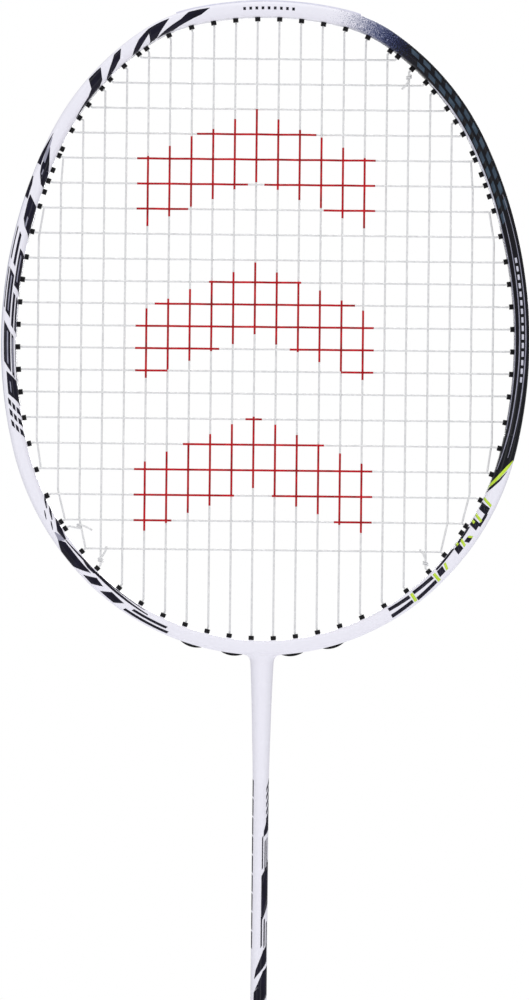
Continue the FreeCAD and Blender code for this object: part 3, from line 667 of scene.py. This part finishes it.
# Mesh of a stroke: the most that one step covers across it and along it, and the most that it
# moves round the section, so that no step cuts through the rounded surface below.
DECAL_COLUMN = 0.35
DECAL_STEP = 1.6
DECAL_SHIFT = 0.4


def frame_patch(skin, rungs, side, face, lift):
    """Stroke on the frame through rungs of (travel, inset, travel, inset)."""
    def steps_between(start, end):
        length = max(abs(end[0] - start[0]), abs(end[2] - start[2]))
        shift = max(abs(girth_at(end[index]) - girth_at(start[index])) for index in (1, 3))
        return max(1, ceil(length / DECAL_STEP), ceil(shift / DECAL_SHIFT))

    def place(travel, girth, level):
        return frame_point(side * travel, girth, face, DECAL_ROOT if level else lift)

    widest = max(abs(girth_at(rung[3]) - girth_at(rung[1])) for rung in rungs)
    columns = max(2, ceil(widest / DECAL_COLUMN))
    fine = [(a, girth_at(low), b, girth_at(high))
            for a, low, b, high in fine_rows(rungs, steps_between)]
    skin.add_slab(fine, columns, place)


def frame_strokes(name, material, strokes, side=1, layer=0):
    """The same strokes on the front and on the back of the frame, as one piece, on its right
    side or, with -1, its left. Three heights take turns, so that neighbours stay apart."""
    skin = Skin()
    for index, rungs in enumerate(strokes):
        lift = DECAL_LIFT + DECAL_STAGGER * (index % 3 + 3 * layer)
        for face in (-1, 1):
            frame_patch(skin, rungs, side, face, lift)
    skin.finish(name, material, "frame_paint")


def bar(start, end, low, high, slant=0):
    """Bar between two travels and two insets, whose ends lean along the frame."""
    lean_low = slant * low
    lean_high = slant * high
    return [(start + lean_low, low, start + lean_high, high),
            (end + lean_low, low, end + lean_high, high)]


def ribbon(*rungs):
    """Stroke whose rungs, (travel, low, high), stand straight across the frame."""
    return [(travel, low, travel, high) for travel, low, high in rungs]


# Strokes of the left side, from the crown down.
LEFT_WEDGES = [
    # Long wedges below the crown.
    [(22, 0.8, 22, 0.9), (25.6, 0.7, 25.6, 2.8), (30, 0.8, 30.8, 4), (33.6, 2.6, 38, 5.4),
     (39.7, 4, 42.5, 5.6), (45, 5.3, 45.2, 5.8)],
    [(37.7, 0.9, 37.7, 1), (40, 0.8, 40.9, 2.9), (43, 0.8, 44.9, 5.1), (46.4, 0.9, 49.2, 6)],
    [(46.4, 0.9, 46.8, 2.4), (51.5, 2.2, 49.8, 3.7), (55, 4, 53.4, 5.1), (57.8, 5.8, 56.2, 6.3)],
    [(59, 0.8, 59, 1), (62.3, 0.9, 61.6, 3.5), (64.6, 2.3, 65.5, 4.8), (67.6, 3.8, 68.6, 5.6),
     (70.7, 5.3, 71.2, 5.9)],
    [(69.3, 0.9, 69.3, 1.1), (71.4, 0.7, 72.2, 4.5), (75.4, 0.6, 76.5, 6), (77.6, 3.7, 78.8, 6.4),
     (80.5, 4.6, 81.5, 6.4), (86, 5, 86.5, 6), (90, 5.3, 90.2, 5.6)],
    # Wedges above the side.
    [(99.5, 0.9, 99.5, 1), (105, 0.4, 105.5, 1.2), (111.6, -0.2, 112.2, 1.6)],
    [(104.8, 2, 104.8, 2.2), (108.5, 1.9, 110.7, 4.4), (111.9, 1.8, 114.5, 5.4),
     (114.8, 2.4, 118, 5.8), (118.9, 4.2, 120.4, 5.9)],
    [(116.9, 0.2, 116.9, 0.6), (120, 0, 120, 1.2), (124.5, 0, 125.6, 1.4)],
    [(123.8, 1.7, 123.8, 1.9), (126, 1.7, 127.4, 5.2), (133, 2.1, 136, 5.9), (136, 3.3, 141.5, 6.3)],
]
LEFT_STRIPES = [
    bar(135, 147, 0.7, 1.1, 1.5), bar(135, 147, 2, 2.9, 1.5), bar(139, 153, 3.5, 6.3, 1.5),
    bar(150, 166, 1.3, 3.1, 1.5), bar(150.5, 165.5, 0.6, 0.9, 1.5),
    bar(155.5, 168, 3.6, 4.4, 1.5), bar(155.5, 168, 4.8, 6.4, 1.5),
    bar(169.5, 184.5, 1.1, 3.5, 1.9), bar(169, 184.5, 3.9, 4.6, 1.9),
    bar(169, 184, 5.2, 6.4, 1.9), bar(187.7, 196.2, 1.8, 5.6, 1.5),
]
LEFT_DASHES = [bar(198 + 4.1 * step, 200.3 + 4.1 * step, low, high, 1.5)
               for step in range(3) for low, high in ((1.5, 2.4), (2.8, 3.7), (4.1, 5.3))]
LOWER_LEFT = [
    ribbon((239, 5.7, 5.9), (241.8, 4.6, 5.3), (244.8, 4, 4.3)),
    ribbon((245, 3, 3.2), (246.6, 2.4, 2.9), (248.4, 2, 2.2)),
    ribbon((243.2, 5.7, 5.9), (246.5, 4.4, 5.2), (249.7, 3.7, 4)),
    ribbon((249.9, 3.1, 3.4), (251.4, 2.5, 3), (253, 2.1, 2.3)),
    [(249.6, 5.2, 249.6, 5.5), (254.4, 3.3, 254.5, 5.2), (258.6, 3.8, 258.8, 4.4)],
    [(257.3, 1.7, 257.4, 2), (259.4, 0.9, 259.6, 3.5), (261.5, 0.2, 263, 3.6),
     (268.5, 0.2, 270, 3.5), (272, 1.8, 273.5, 3.5), (274.1, 3, 275, 3.3)],
    [(269.5, 4.3, 269.5, 4.6), (272.4, 3.8, 272.4, 4.9), (275.8, 4, 276, 4.5)],
    ribbon((258.8, 3.9, 4.2), (269, 4.4, 5.1), (280, 4.2, 5), (290, 3.9, 4.7), (302, 3.6, 4)),
    ribbon((276, 4.9, 5.2), (290, 5, 5.3), (300, 4.7, 4.9)),
    [(273.3, 0.9, 277.7, 3.6), (277.7, 0.7, 281.8, 2.9)],
    [(281.9, 0.9, 285.7, 3.4), (288.5, 0.7, 292, 2.8)],
    bar(292.5, 311, 0.7, 1.6, 0.6), bar(294.5, 309, 2.2, 3.1, 0.6),
]
# Fine grey lines over the dark strokes of the left side: painted highlights.
LEFT_HIGHLIGHTS = [
    bar(109.5, 111.5, 3, 3.4, 1.2), bar(128, 132, 3.2, 3.7, 1.2),
    bar(140.5, 150.5, 4.1, 4.5, 1.5), bar(151.5, 164.5, 2, 2.4, 1.5),
    bar(156.5, 167, 5.3, 5.7, 1.5), bar(171, 183, 2.2, 2.7, 1.9),
    bar(170, 183, 4.1, 4.4, 1.9), bar(189, 193, 2.7, 3.1, 1.9),
    [(101, 1.2, 101, 1.4), (106, 1.3, 106.7, 2.4), (110.2, 1.7, 111, 2.8)],
    [(254.2, 2.2, 254.2, 2.5), (256, 2, 256.6, 3.6), (257.6, 1.7, 259, 3.8)],
]
# A grey band along the outer rim of the left side: painted shade.
LEFT_EDGE_SHADE = [ribbon((98, -0.3, -0.1), (118, -0.5, 0.25), (150, -0.5, 0.4), (190, -0.5, 0.4),
                    (214, -0.3, -0.1))]


def left_strokes():
    """Dark strokes, grey painted highlights over them, and painted shade along the outer edge."""
    frame_strokes("left_dark_strokes", "dark_ink",
                  LEFT_WEDGES + LEFT_STRIPES + LEFT_DASHES + LOWER_LEFT, -1)
    frame_strokes("left_painted_highlights", "painted_highlight_grey", LEFT_HIGHLIGHTS, -1, layer=1)
    frame_strokes("left_edge_painted_shade", "silver_print_and_painted_light", LEFT_EDGE_SHADE, -1)


def upper_right_bars():
    """Two lanes of slanted slate bars, set like bricks, down the black side."""
    strokes = []
    for step in range(12):
        start = 56 + 6 * step
        strokes.append(bar(start, start + 3.8, 1, 2.4, 0.9))
        strokes.append(bar(start + 3, start + 6.8, 3.2, 4.5, 0.9))
    frame_strokes("upper_slate_bars", "slate_ink", strokes)


def side_painted_light():
    """Painted highlights down the black side, a pale inner edge, and painted shade on the white
    below.
    """
    # Fine silver lines down the black side: painted highlights.
    lines = [
        ribbon((128, 3.4, 3.5), (150, 3.5, 3.8), (185, 3.6, 4), (212, 4, 4.4), (227, 4.9, 5.1)),
        ribbon((122, 1.5, 1.6), (140, 1.3, 1.5), (180, 1.3, 1.7), (205, 1.8, 2.2),
               (221.5, 2.4, 2.6)),
        ribbon((133, 5.2, 5.4), (170, 5.1, 5.38), (211, 5.2, 5.4)),
    ]
    frame_strokes("side_painted_highlights", "painted_highlight_grey", lines, layer=1)
    edges = [
        # Pale band on the black side's inner edge: partly the inner wall's own pale paint, partly
        # painted highlight.
        ribbon((70, 5.3, 5.5), (84, 5, 6.2), (104, 4.9, 6.4), (124, 5, 6.4), (136, 5.25, 5.6)),
        # Grey line on the outer edge of the white below the lime sweep: painted shade.
        ribbon((223.5, -0.5, -0.4), (232, -0.6, 0.05), (246, -0.6, 0.05), (262, -0.5, -0.4)),
    ]
    frame_strokes("right_edge_highlight_and_shade", "silver_print_and_painted_light", edges)


def lime_sweep():
    """The lime sweep that ends the black side, and the black beside it."""
    sweep = [[(222.1, 0.15, 221.9, 0.45), (225.2, 1.1, 224.8, 2.1), (229.2, 2.75, 228.8, 3.85),
              (232.7, 4.4, 232.3, 5.2), (235.1, 5.7, 234.9, 6.1)]]
    frame_strokes("lime_sweep", "lime_ink", sweep, layer=1)
    black = [
        [(212.5, -1.4, 212.5, 7.4), (221.9, -0.6, 221.9, 7.3), (222.2, 0.4, 223, 7.2),
         (225, 1.9, 226.5, 7), (229, 3.6, 230.5, 6.8), (232.5, 5, 233.5, 6.6), (235, 6, 235.4, 6.3)],
        [(226.5, 1.2, 226.5, 1.4), (230.6, 2.5, 230.2, 3.1), (234.2, 4.2, 233.7, 4.9),
         (236.8, 5.5, 236.3, 5.9)],
    ]
    frame_strokes("sweep_shadow", "black_ink", black)


def small_ticks():
    """Rows of plain ticks: dark ones across the crown, pale ones down the black side."""
    crown = [bar(-9.6 + 2.3 * step, -8.6 + 2.3 * step, 2, 3.1) for step in range(9)]
    frame_strokes("crown_ticks", "dark_ink", crown)
    side = [bar(146 + 3.2 * step, 148 + 3.2 * step, 2.2, 3) for step in range(15)]
    frame_strokes("side_ticks", "silver_print_and_painted_light", side)


def lower_right_blocks():
    """Dark blocks edged with lime, joined by fine lines."""
    lime = []
    dark = []
    for start, low, high in ((239.4, 1.8, 5.3), (246.4, 2.3, 5.3), (257.6, 2.4, 4.8),
                             (268.4, 1.9, 4.2)):
        lime.append(bar(start + 1.7, start + 2.8, low, high, -0.5))
        dark.append(bar(start + 2.8, start + 5.8, low, high, -0.3))
    lime.append(bar(252.8, 253.7, 2, 3.5, 0.5))
    dark.append(bar(253.7, 256, 1.9, 3.6, 0.4))
    for start, low, high in ((250.4, 4.2, 5.3), (261.2, 4.6, 5.4)):
        lime.append(bar(start, start + 1.1, low, high, -0.4))
    dark.append(ribbon((244, 1.5, 2.5), (249.5, 1.6, 2.6)))
    dark.append(ribbon((251.6, 4.8, 5.5), (260.6, 4.6, 5.4)))
    dark.append(ribbon((262, 4.8, 5.45), (272.6, 4.4, 5.1)))
    for start in (274.2, 285.8):
        lime.append(bar(start, start + 1.2, 1.1, 4.4, -0.1))
        dark.append(ribbon((start + 1.4, 3.2, 4.5), (start + 11, 3.5, 4.7)))
        dark.append(ribbon((start + 1.4, 1.2, 2.5), (start + 11.2, 0.8, 2.1)))
    frame_strokes("lower_lime_bars", "lime_ink", lime, layer=1)
    frame_strokes("lower_dark_blocks", "dark_ink", dark)


SHAFT_LIFTS = (0.07, -0.04)
SHAFT_STEPS = 4
SHAFT_COLUMNS = 8


def shaft_patch(skin, rungs):
    """Stroke on the shaft through rungs of (height, degrees, height, degrees)."""
    def place(height, angle, level):
        turn = radians(angle)
        radius = SHAFT_RADIUS + SHAFT_LIFTS[level]
        return Vector((radius * sin(turn), -radius * cos(turn), height))

    skin.add_slab(fine_rows(rungs, lambda start, end: SHAFT_STEPS), SHAFT_COLUMNS, place)


def shaft_strokes():
    """Broken line down the left of the shaft, and slanted strokes down its right."""
    strokes = []
    for step in range(9):
        high = 387.7 - 7 * step
        strokes.append([(high, -78, high - 0.6, -60), (high - 6.2, -78, high - 6.6, -60)])
    for step in range(5):
        high = 388 - 2.8 * step
        strokes.append([(high, 78, high - 3.5, 45), (high - 1.5, 78, high - 5, 45)])
    strokes.append([(375.8, 74, 374.5, 60), (371.5, 74, 368.5, 26), (369, 74, 366.5, 26)])
    for turn, high in ((14, 367), (34, 365.5), (52, 366.5)):
        strokes.append([(high, turn + 8, high - 0.8, turn),
                        (high - 12, turn + 8, high - 12.6, turn)])
    strokes.append([(358, 74, 352, 12), (342, 74, 335, 12)])
    for turn in (10, 32, 54):
        high = 338 - turn / 20
        strokes.append([(high, turn + 10, high - 0.5, turn), (326.5, turn + 10, 325.5, turn)])
    strokes.append([(327, 66, 324.5, 30), (324, 66, 317.5, -22), (320.5, 66, 314, -34)])
    strokes.append([(319, 78, 317, 30), (313, 78, 309, -36), (308, 78, 302, -40)])
    skin = Skin()
    for rungs in strokes:
        for turned in (0, 180):
            shaft_patch(skin, [(a, left + turned, b, right + turned)
                               for a, left, b, right in rungs])
    skin.finish("shaft_strokes", "dark_ink", "shaft_paint")


# ---------- strings


def main_x(number):
    return MAIN_SPACING * (number - 0.5)


def cross_z(number):
    return FIRST_CROSS - sum(CROSS_GAPS[:number - 1])


CROSSES = len(CROSS_GAPS) + 1
# A hole in the frame: its direction from the crown, and 1 for the right side or -1 for the left.
Site = namedtuple("Site", "angle side")


def cross_site(number, side):
    return Site(angle_at_z(cross_z(number), LEAD_INSET), side)


def main_site(number, side, upper):
    shared = SHARED_AT_TOP if upper else SHARED_AT_BOTTOM
    if number in shared:
        return cross_site(shared[number], side)
    return Site(angle_at_x(main_x(number), LEAD_INSET, upper), side)


def lead(site, y):
    """Where a string comes clear of its grommet."""
    return outline_point(site.angle, LEAD_INSET, site.side, y)


def weave_sign(x, cross_number):
    """Which way a main passes a cross: the signs alternate like a chessboard."""
    column = round(x / MAIN_SPACING + 0.5)
    return 1 if (column + cross_number) % 2 == 0 else -1


def outwards(site, y, lane_y=None):
    """Points from the lead through the barrel to the groove."""
    lane_y = y if lane_y is None else lane_y
    route = [(inset, y) for inset in BARREL_STOPS]
    route += [(LANE_TURN, (y + lane_y) / 2), (LANE_INSET, lane_y)]
    return [outline_point(site.angle, inset, site.side, depth) for inset, depth in route]


def inwards(site, y):
    """Points from the groove through the barrel to the lead."""
    return list(reversed(outwards(site, y)))


def groove_lane(start, end, y):
    """Points along the groove between two sites."""
    first = start.angle * start.side
    last = end.angle * end.side
    count = max(2, ceil(abs(last - first) / LANE_STEP))
    points = []
    for index in range(1, count):
        angle = first + (last - first) * index / count
        points.append(outline_point(abs(angle), LANE_INSET, 1 if angle >= 0 else -1, y))
    return points


def waved(levels):
    """(position, depth) samples that swing smoothly from one level to the next."""
    samples = [levels[0]]
    for (here, low), (there, high) in zip(levels, levels[1:]):
        count = max(2, ceil(abs(there - here) / WAVE_STEP))
        for index in range(1, count + 1):
            share = index / count
            swing = (1 - cos(pi * share)) / 2
            samples.append((here + (there - here) * share, low + (high - low) * swing))
    return samples


def main_run(number, side, downwards):
    """One woven main between its leads."""
    top = lead(main_site(number, side, True), LAYER)
    bottom = lead(main_site(number, side, False), LAYER)
    x = side * main_x(number)
    levels = [(top.z, LAYER)]
    for cross in range(1, CROSSES + 1):
        z = cross_z(cross)
        if bottom.z + LEAD_CLEAR < z < top.z - LEAD_CLEAR:
            levels.append((z, WEAVE * weave_sign(x, cross)))
    levels.append((bottom.z, LAYER))
    points = []
    for z, y in waved(levels):
        pull = (top.x - x) * max(0, 1 - (top.z - z) / BEND_LENGTH)
        pull += (bottom.x - x) * max(0, 1 - (z - bottom.z) / BEND_LENGTH)
        points.append(Vector((x + pull, y, z)))
    return points if downwards else list(reversed(points))


def knot(axis, towards, tail):
    """Two turns round a string and a loose end."""
    points = []
    radius = 2 * STRING_RADIUS + KNOT_GAP
    count = KNOT_SIDES * KNOT_TURNS
    for index in range(count + 1):
        turn = 2 * pi * KNOT_TURNS * index / count - pi / 2
        rise = towards * (index / count - 0.5) * KNOT_LENGTH
        points.append(axis + Vector((radius * cos(turn), radius * sin(turn), rise)))
    end = points[-1]
    for share in (0.3, 0.65, 1):
        sag = sin(pi * share) * TAIL_SAG
        points.append(end + Vector(tail) * share + Vector((sag, 0, 0)))
    return points


def tied_end(site, x, stand, towards, tail):
    """From the groove through a hole to a knot round the main at x, and its loose end."""
    start = lead(site, -LAYER)
    axis = Vector((x, LAYER, start.z + stand))
    return inwards(site, -LAYER) + [start] + knot(axis, towards, tail)


def half_main(side):
    """From the crown's loop outwards to the knot beside main 8."""
    points = []
    for index, number in enumerate(MAIN_ORDER):
        downwards = index % 2 == 0
        here = main_site(number, side, not downwards)
        points += inwards(main_site(number, side, downwards), LAYER)
        points += main_run(number, side, downwards)
        if number == MAIN_ORDER[-1]:
            tie = main_site(8, side, False)
            points += outwards(here, LAYER)
            points += groove_lane(here, tie, 0)
            tail = (-side * 2.2, -0.6, 4.4)
            return points + tied_end(tie, side * main_x(8), KNOT_STAND, 1, tail)
        after = MAIN_ORDER[index + 1]
        there = main_site(after, side, not downwards)
        lane_y = OUTER_LANE if (number, after) == (8, 11) else LAYER
        points += outwards(here, LAYER, lane_y)
        points += groove_lane(here, there, lane_y)
        if lane_y != LAYER:
            points.append(outline_point(there.angle, LANE_INSET, side, lane_y))
    return points


def main_points():
    """The whole main string, from its left knot over the crown to its right one."""
    crown = groove_lane(main_site(1, -1, True), main_site(1, 1, True), LAYER)
    return list(reversed(half_main(-1))) + crown + half_main(1)


def cross_run(number, from_side):
    """One woven cross between its leads."""
    reach = lead(cross_site(number, 1), 0).x
    levels = [(-reach, -LAYER)]
    for main in range(-MAINS_PER_SIDE, MAINS_PER_SIDE + 1):
        x = copysign(main_x(abs(main)), main)
        if main and abs(x) < reach - LEAD_CLEAR:
            levels.append((x, -WEAVE * weave_sign(x, number)))
    levels.append((reach, -LAYER))
    z = cross_z(number)
    points = [Vector((x, y, z)) for x, y in waved(levels)]
    return points if from_side < 0 else list(reversed(points))


def cross_points():
    """From the knot at upper right, down all the crosses, to the knot at lower left."""
    tie = main_site(7, 1, True)
    points = list(reversed(tied_end(tie, main_x(7), -KNOT_STAND, -1, (-2.6, -0.5, -3.8))))
    points += groove_lane(tie, cross_site(1, 1), -LAYER)
    for number in range(1, CROSSES + 1):
        side = 1 if number % 2 == 1 else -1
        far = cross_site(number, -side)
        points += inwards(cross_site(number, side), -LAYER)
        points += cross_run(number, side)
        points += outwards(far, -LAYER)
        if number < CROSSES:
            points += groove_lane(far, cross_site(number + 1, -side), -LAYER)
    spare = Site(angle_at_z(LAST_SPARE, BARREL_INSET), -1)
    points += groove_lane(far, spare, -LAYER)
    return points + tied_end(spare, -main_x(9), 0, 1, (4.8, -0.5, -2.2))


INK_CENTRES = (608, 551.5, 495)
INK_MIDDLE = -4
INK_HALF_WIDTH = 44.5
INK_SLOPE = 0.42
INK_HEIGHT = 27
INK_COAT = 0.04
SHORTEST_STEP = 0.05


def inked(point):
    """Whether the stencil's three broad chevrons cover a point of the string bed."""
    aside = abs(point.x - INK_MIDDLE)
    if aside > INK_HALF_WIDTH:
        return False
    level = point.z + INK_SLOPE * aside
    return any(0 <= level - centre <= INK_HEIGHT for centre in INK_CENTRES)


def ink_pieces(points):
    """Stretches of a string that the stencil covers."""
    stretches = [list(group) for covered, group in groupby(points, inked) if covered]
    return [stretch for stretch in stretches if len(stretch) > 1]


def build_strings():
    """Both woven strings, and the ink as a thin coat over the stretches that it covers."""
    ink = Skin()
    for node, points in (("main_string", main_points()), ("cross_string", cross_points())):
        distinct = [points[0]]
        for point in points[1:]:
            if (point - distinct[-1]).length > SHORTEST_STEP:
                distinct.append(point)
        string = Skin()
        string.add_tube(distinct, STRING_RADIUS)
        string.finish("woven_" + node, "string_nylon", replaces=node)
        for stretch in ink_pieces(distinct):
            ink.add_tube(stretch, STRING_RADIUS + INK_COAT)
    ink.finish("string_stencil", "string_ink", "string_nylon")


# ---------- handle


CORNER_CUT = 0.5
CRISPNESS = 26


def octagon_reach(turn, half_x, half_y):
    """Distance from the axis to a softly rounded octagon."""
    slanted = (half_x + half_y - half_y * CORNER_CUT) / sqrt(2)
    total = 0
    for index in range(8):
        distance = slanted if index % 2 else (half_x if index % 4 == 0 else half_y)
        facing = cos(turn - index * pi / 4)
        if facing > 0:
            total += (facing / distance) ** CRISPNESS
    return total ** (-1 / CRISPNESS)


def sleeve(name, node, material, rows, columns=96, relief=None, caps=(False, False)):
    """Octagonal sleeve through rows of (height, half X, half Y, share of roundness), in place
    of a CAD node."""
    rings = []
    for z, half_x, half_y, roundness in rows:
        ring = []
        for turn in turns(columns):
            oval = half_x * half_y / hypot(half_y * cos(turn), half_x * sin(turn))
            reach = octagon_reach(turn, half_x, half_y) * (1 - roundness) + oval * roundness
            if relief:
                reach += relief(z, turn)
            ring.append(Vector((reach * cos(turn), reach * sin(turn), z)))
        rings.append(ring)
    skin = Skin()
    skin.add_rings(rings, caps)
    skin.finish(name, material, replaces=node)


def between(levels, step):
    """Rows at an even step of height between a few levels."""
    return fine_rows(levels, lambda low, high: max(1, ceil((high[0] - low[0]) / step)))


def smooth_step(value, low, high):
    share = max(0, min(1, (value - low) / (high - low)))
    return share * share * (3 - 2 * share)


# The grip's turns: a step SEAM_DEPTH deep over SEAM_SHARE of a turn, and a crown between two
# seams. Both fade by WRAP_FADE between two heights, where the grip thins out.
WRAP_PITCH = 24
SEAM_DEPTH = 0.8
SEAM_SHARE = 0.06
CROWN_HEIGHT = 0.25
WRAP_FADE = 0.75
WRAP_FADE_LOW = 148
WRAP_FADE_HIGH = 160
TAPE_PITCH = 9
TAPE_SEAM_DEPTH = 0.25
TAPE_SEAM_SHARE = 0.12


def turn_phase(z, turn, pitch):
    """How far a point lies through its turn of a wrap, from 0 to 1."""
    return (z / pitch - turn / (2 * pi)) % 1


def wrap_relief(z, turn):
    """Overlapping turns of the grip: a step at each seam, and a soft crown between."""
    phase = turn_phase(z, turn, WRAP_PITCH)
    seam = 1 - smooth_step(phase, 0, SEAM_SHARE)
    crown = sin(pi * phase)
    depth = 1 - WRAP_FADE * smooth_step(z, WRAP_FADE_LOW, WRAP_FADE_HIGH)
    return -depth * (SEAM_DEPTH * seam + CROWN_HEIGHT * (1 - crown))


def tape_relief(z, turn):
    """Shallow step where each turn of the tape overlaps the last."""
    phase = turn_phase(z, turn, TAPE_PITCH)
    return -TAPE_SEAM_DEPTH * (1 - smooth_step(phase, 0, TAPE_SEAM_SHARE))


def build_grip():
    """Wrapped grip, fullest at the butt."""
    bottom = GRIP_LOW.z
    top = GRIP_HIGH.z
    rows = [(bottom, 13.7, 12.4, 0)]
    rows += between([(bottom + 0.3, 15, 13.7, 0), (bottom + 1.2, 15.3, 14, 0),
                     (15, 13.3, 12, 0), (158, 13, 11.7, 0), (top, 9.9, 8.6, 0.1)], 0.8)
    rows.append((top, 8.7, 7.6, 0.1))
    sleeve("wrapped_grip", "grip_wrap", "grip_polyurethane", rows, relief=wrap_relief)


def build_tape():
    """Tape that narrows from the grip onto the cone."""
    bottom = TAPE_LOW.z
    top = TAPE_HIGH.z
    rows = between([(bottom, 11.2, 9.9, 0), (bottom + 0.5, 11.6, 10.3, 0),
                    (176, 10.3, 9.1, 0.2), (180, 8.25, 7.8, 0.5), (top, 6.4, 6.2, 0.9)], 0.5)
    rows.append((top, 5.7, 5.6, 1))
    sleeve("wound_tape", "finishing_tape", "tape_vinyl", rows, relief=tape_relief)


def build_cone():
    """Smooth cone from the handle to the shaft."""
    top = CONE_HIGH.z
    rows = between([(CONE_LOW.z, 11.9, 10.6, 0), (184, 6.8, 6.5, 0.8), (193, 5.2, 5.1, 1),
                    (top - 0.5, 4.25, 4.25, 1), (top, 3.95, 3.95, 1)], 2)
    rows.append((top, SHAFT_RADIUS, SHAFT_RADIUS, 1))
    sleeve("moulded_cone", "handle_cone", "cone_plastic", rows, columns=64)


def build_butt_cap():
    """Cap with a rounded rim, and a round recess for the badge."""
    recess = BADGE_HIGH.x + 0.1
    rows = [(BADGE_HIGH.z, recess, recess, 1), (0, recess, recess, 1),
            (0, recess + 0.4, recess + 0.4, 1), (0, 13.9, 12.6, 0),
            (0.15, 14.5, 13.2, 0), (0.5, 14.85, 13.55, 0), (1, 15, 13.7, 0),
            (2.2, 15, 13.7, 0), (2.45, 14.8, 13.5, 0), (2.5, 13.6, 12.3, 0), (15, 11.5, 10.2, 0)]
    sleeve("rounded_butt_cap", "butt_cap", "cap_plastic", rows, caps=(True, False))


def build_badge():
    """Round badge with one sunk ring."""
    rim = BADGE_HIGH.x
    profile = ((0.03, 0.5), (0.03, rim - 1.7), (0.15, rim - 1.5), (0.15, rim - 1.1),
               (0.03, rim - 0.9), (0.03, rim - 0.12), (0.12, rim), (BADGE_HIGH.z, rim))
    rows = [(z, radius, radius, 1) for z, radius in profile]
    sleeve("ringed_badge", "butt_badge", "badge_film", rows, columns=64, caps=(True, True))


# ---------- stage, light and camera


FLOOR_RADIUS = 2
FLOOR_SIDES = 96
FLOOR_GAP = 0.0002


def build_floor():
    """Pale round floor under the butt."""
    rim = [(FLOOR_RADIUS * cos(turn), FLOOR_RADIUS * sin(turn), 0) for turn in turns(FLOOR_SIDES)]
    mesh = bpy.data.meshes.new("floor")
    mesh.from_pydata(rim, [], [tuple(range(FLOOR_SIDES))])
    shader = Shader("floor_paper", 0.9)
    shader.drift(shader.noise(3), (243, 243, 245), (248, 248, 250))
    mesh.materials.append(shader.material)
    floor = add_object("floor", mesh)
    floor.location.z = cad_bounds[0][2] - FLOOR_GAP


WORLD_TINT = (0.98, 0.98, 1, 1)
WORLD_STRENGTH = 0.49


def build_world():
    """White all round for the camera, and a softer light on the racket."""
    world = bpy.data.worlds.new("studio")
    world.use_nodes = True
    nodes = world.node_tree.nodes
    links = world.node_tree.links
    seen = nodes["Background"]
    seen.inputs["Color"].default_value = (1, 1, 1, 1)
    lit = nodes.new("ShaderNodeBackground")
    lit.inputs["Color"].default_value = WORLD_TINT
    lit.inputs["Strength"].default_value = WORLD_STRENGTH
    path = nodes.new("ShaderNodeLightPath")
    mix = nodes.new("ShaderNodeMixShader")
    links.new(path.outputs["Is Camera Ray"], mix.inputs["Fac"])
    links.new(lit.outputs["Background"], mix.inputs[1])
    links.new(seen.outputs["Background"], mix.inputs[2])
    links.new(mix.outputs["Shader"], nodes["World Output"].inputs["Surface"])
    bpy.context.scene.world = world


# Name, place, point aimed at, width and height, and watts of each softbox.
HEAD_CENTRE = (0, 0, 0.55)
SOFTBOXES = (
    ("left_softbox", (-0.8, -1.9, 0.9), HEAD_CENTRE, (0.7, 1.6), 8),
    ("right_softbox", (0.9, -1.8, 0.7), HEAD_CENTRE, (0.6, 1.6), 6),
    ("overhead_softbox", (0, -0.2, 2.5), (0, 0, 0), (2.2, 2.2), 20),
    ("back_softbox", (0.4, 1.9, 1.2), HEAD_CENTRE, (1.2, 1.2), 22),
)


def build_lights():
    """Soft light from both sides, from above and from behind."""
    for name, place, target, size, watts in SOFTBOXES:
        light = bpy.data.lights.new(name, "AREA")
        light.shape = "RECTANGLE"
        light.size, light.size_y = size
        light.energy = watts
        lamp = add_object(name, light)
        lamp.location = place
        direction = Vector(target) - Vector(place)
        lamp.rotation_euler = direction.to_track_quat("-Z", "Y").to_euler()


CAMERA_DISTANCE = 1.6
CAMERA_TARGET = Vector((0.0003, 0, 0.4907))
CAMERA_ROLL = radians(0.6)
CAMERA_LENS = 156
SENSOR_HEIGHT = 36


def build_camera():
    """Level camera in front of the racket, rolled a little."""
    camera = bpy.data.cameras.new("camera")
    camera.sensor_fit = "VERTICAL"
    camera.sensor_height = SENSOR_HEIGHT
    camera.lens = CAMERA_LENS
    eye = add_object("camera", camera)
    place = Matrix.Translation(CAMERA_TARGET - Vector((0, CAMERA_DISTANCE, 0)))
    upright = Matrix.Rotation(pi / 2, 4, "X")
    eye.matrix_world = place @ upright @ Matrix.Rotation(CAMERA_ROLL, 4, "Z")
    bpy.context.scene.camera = eye


paint_cad_nodes()
build_frame()
left_strokes()
upper_right_bars()
side_painted_light()
lime_sweep()
small_ticks()
lower_right_blocks()
shaft_strokes()
build_strings()
build_grip()
build_tape()
build_cone()
build_butt_cap()
build_badge()
build_floor()
build_world()
build_lights()
build_camera()
bpy.context.scene.view_settings.view_transform = "Standard"
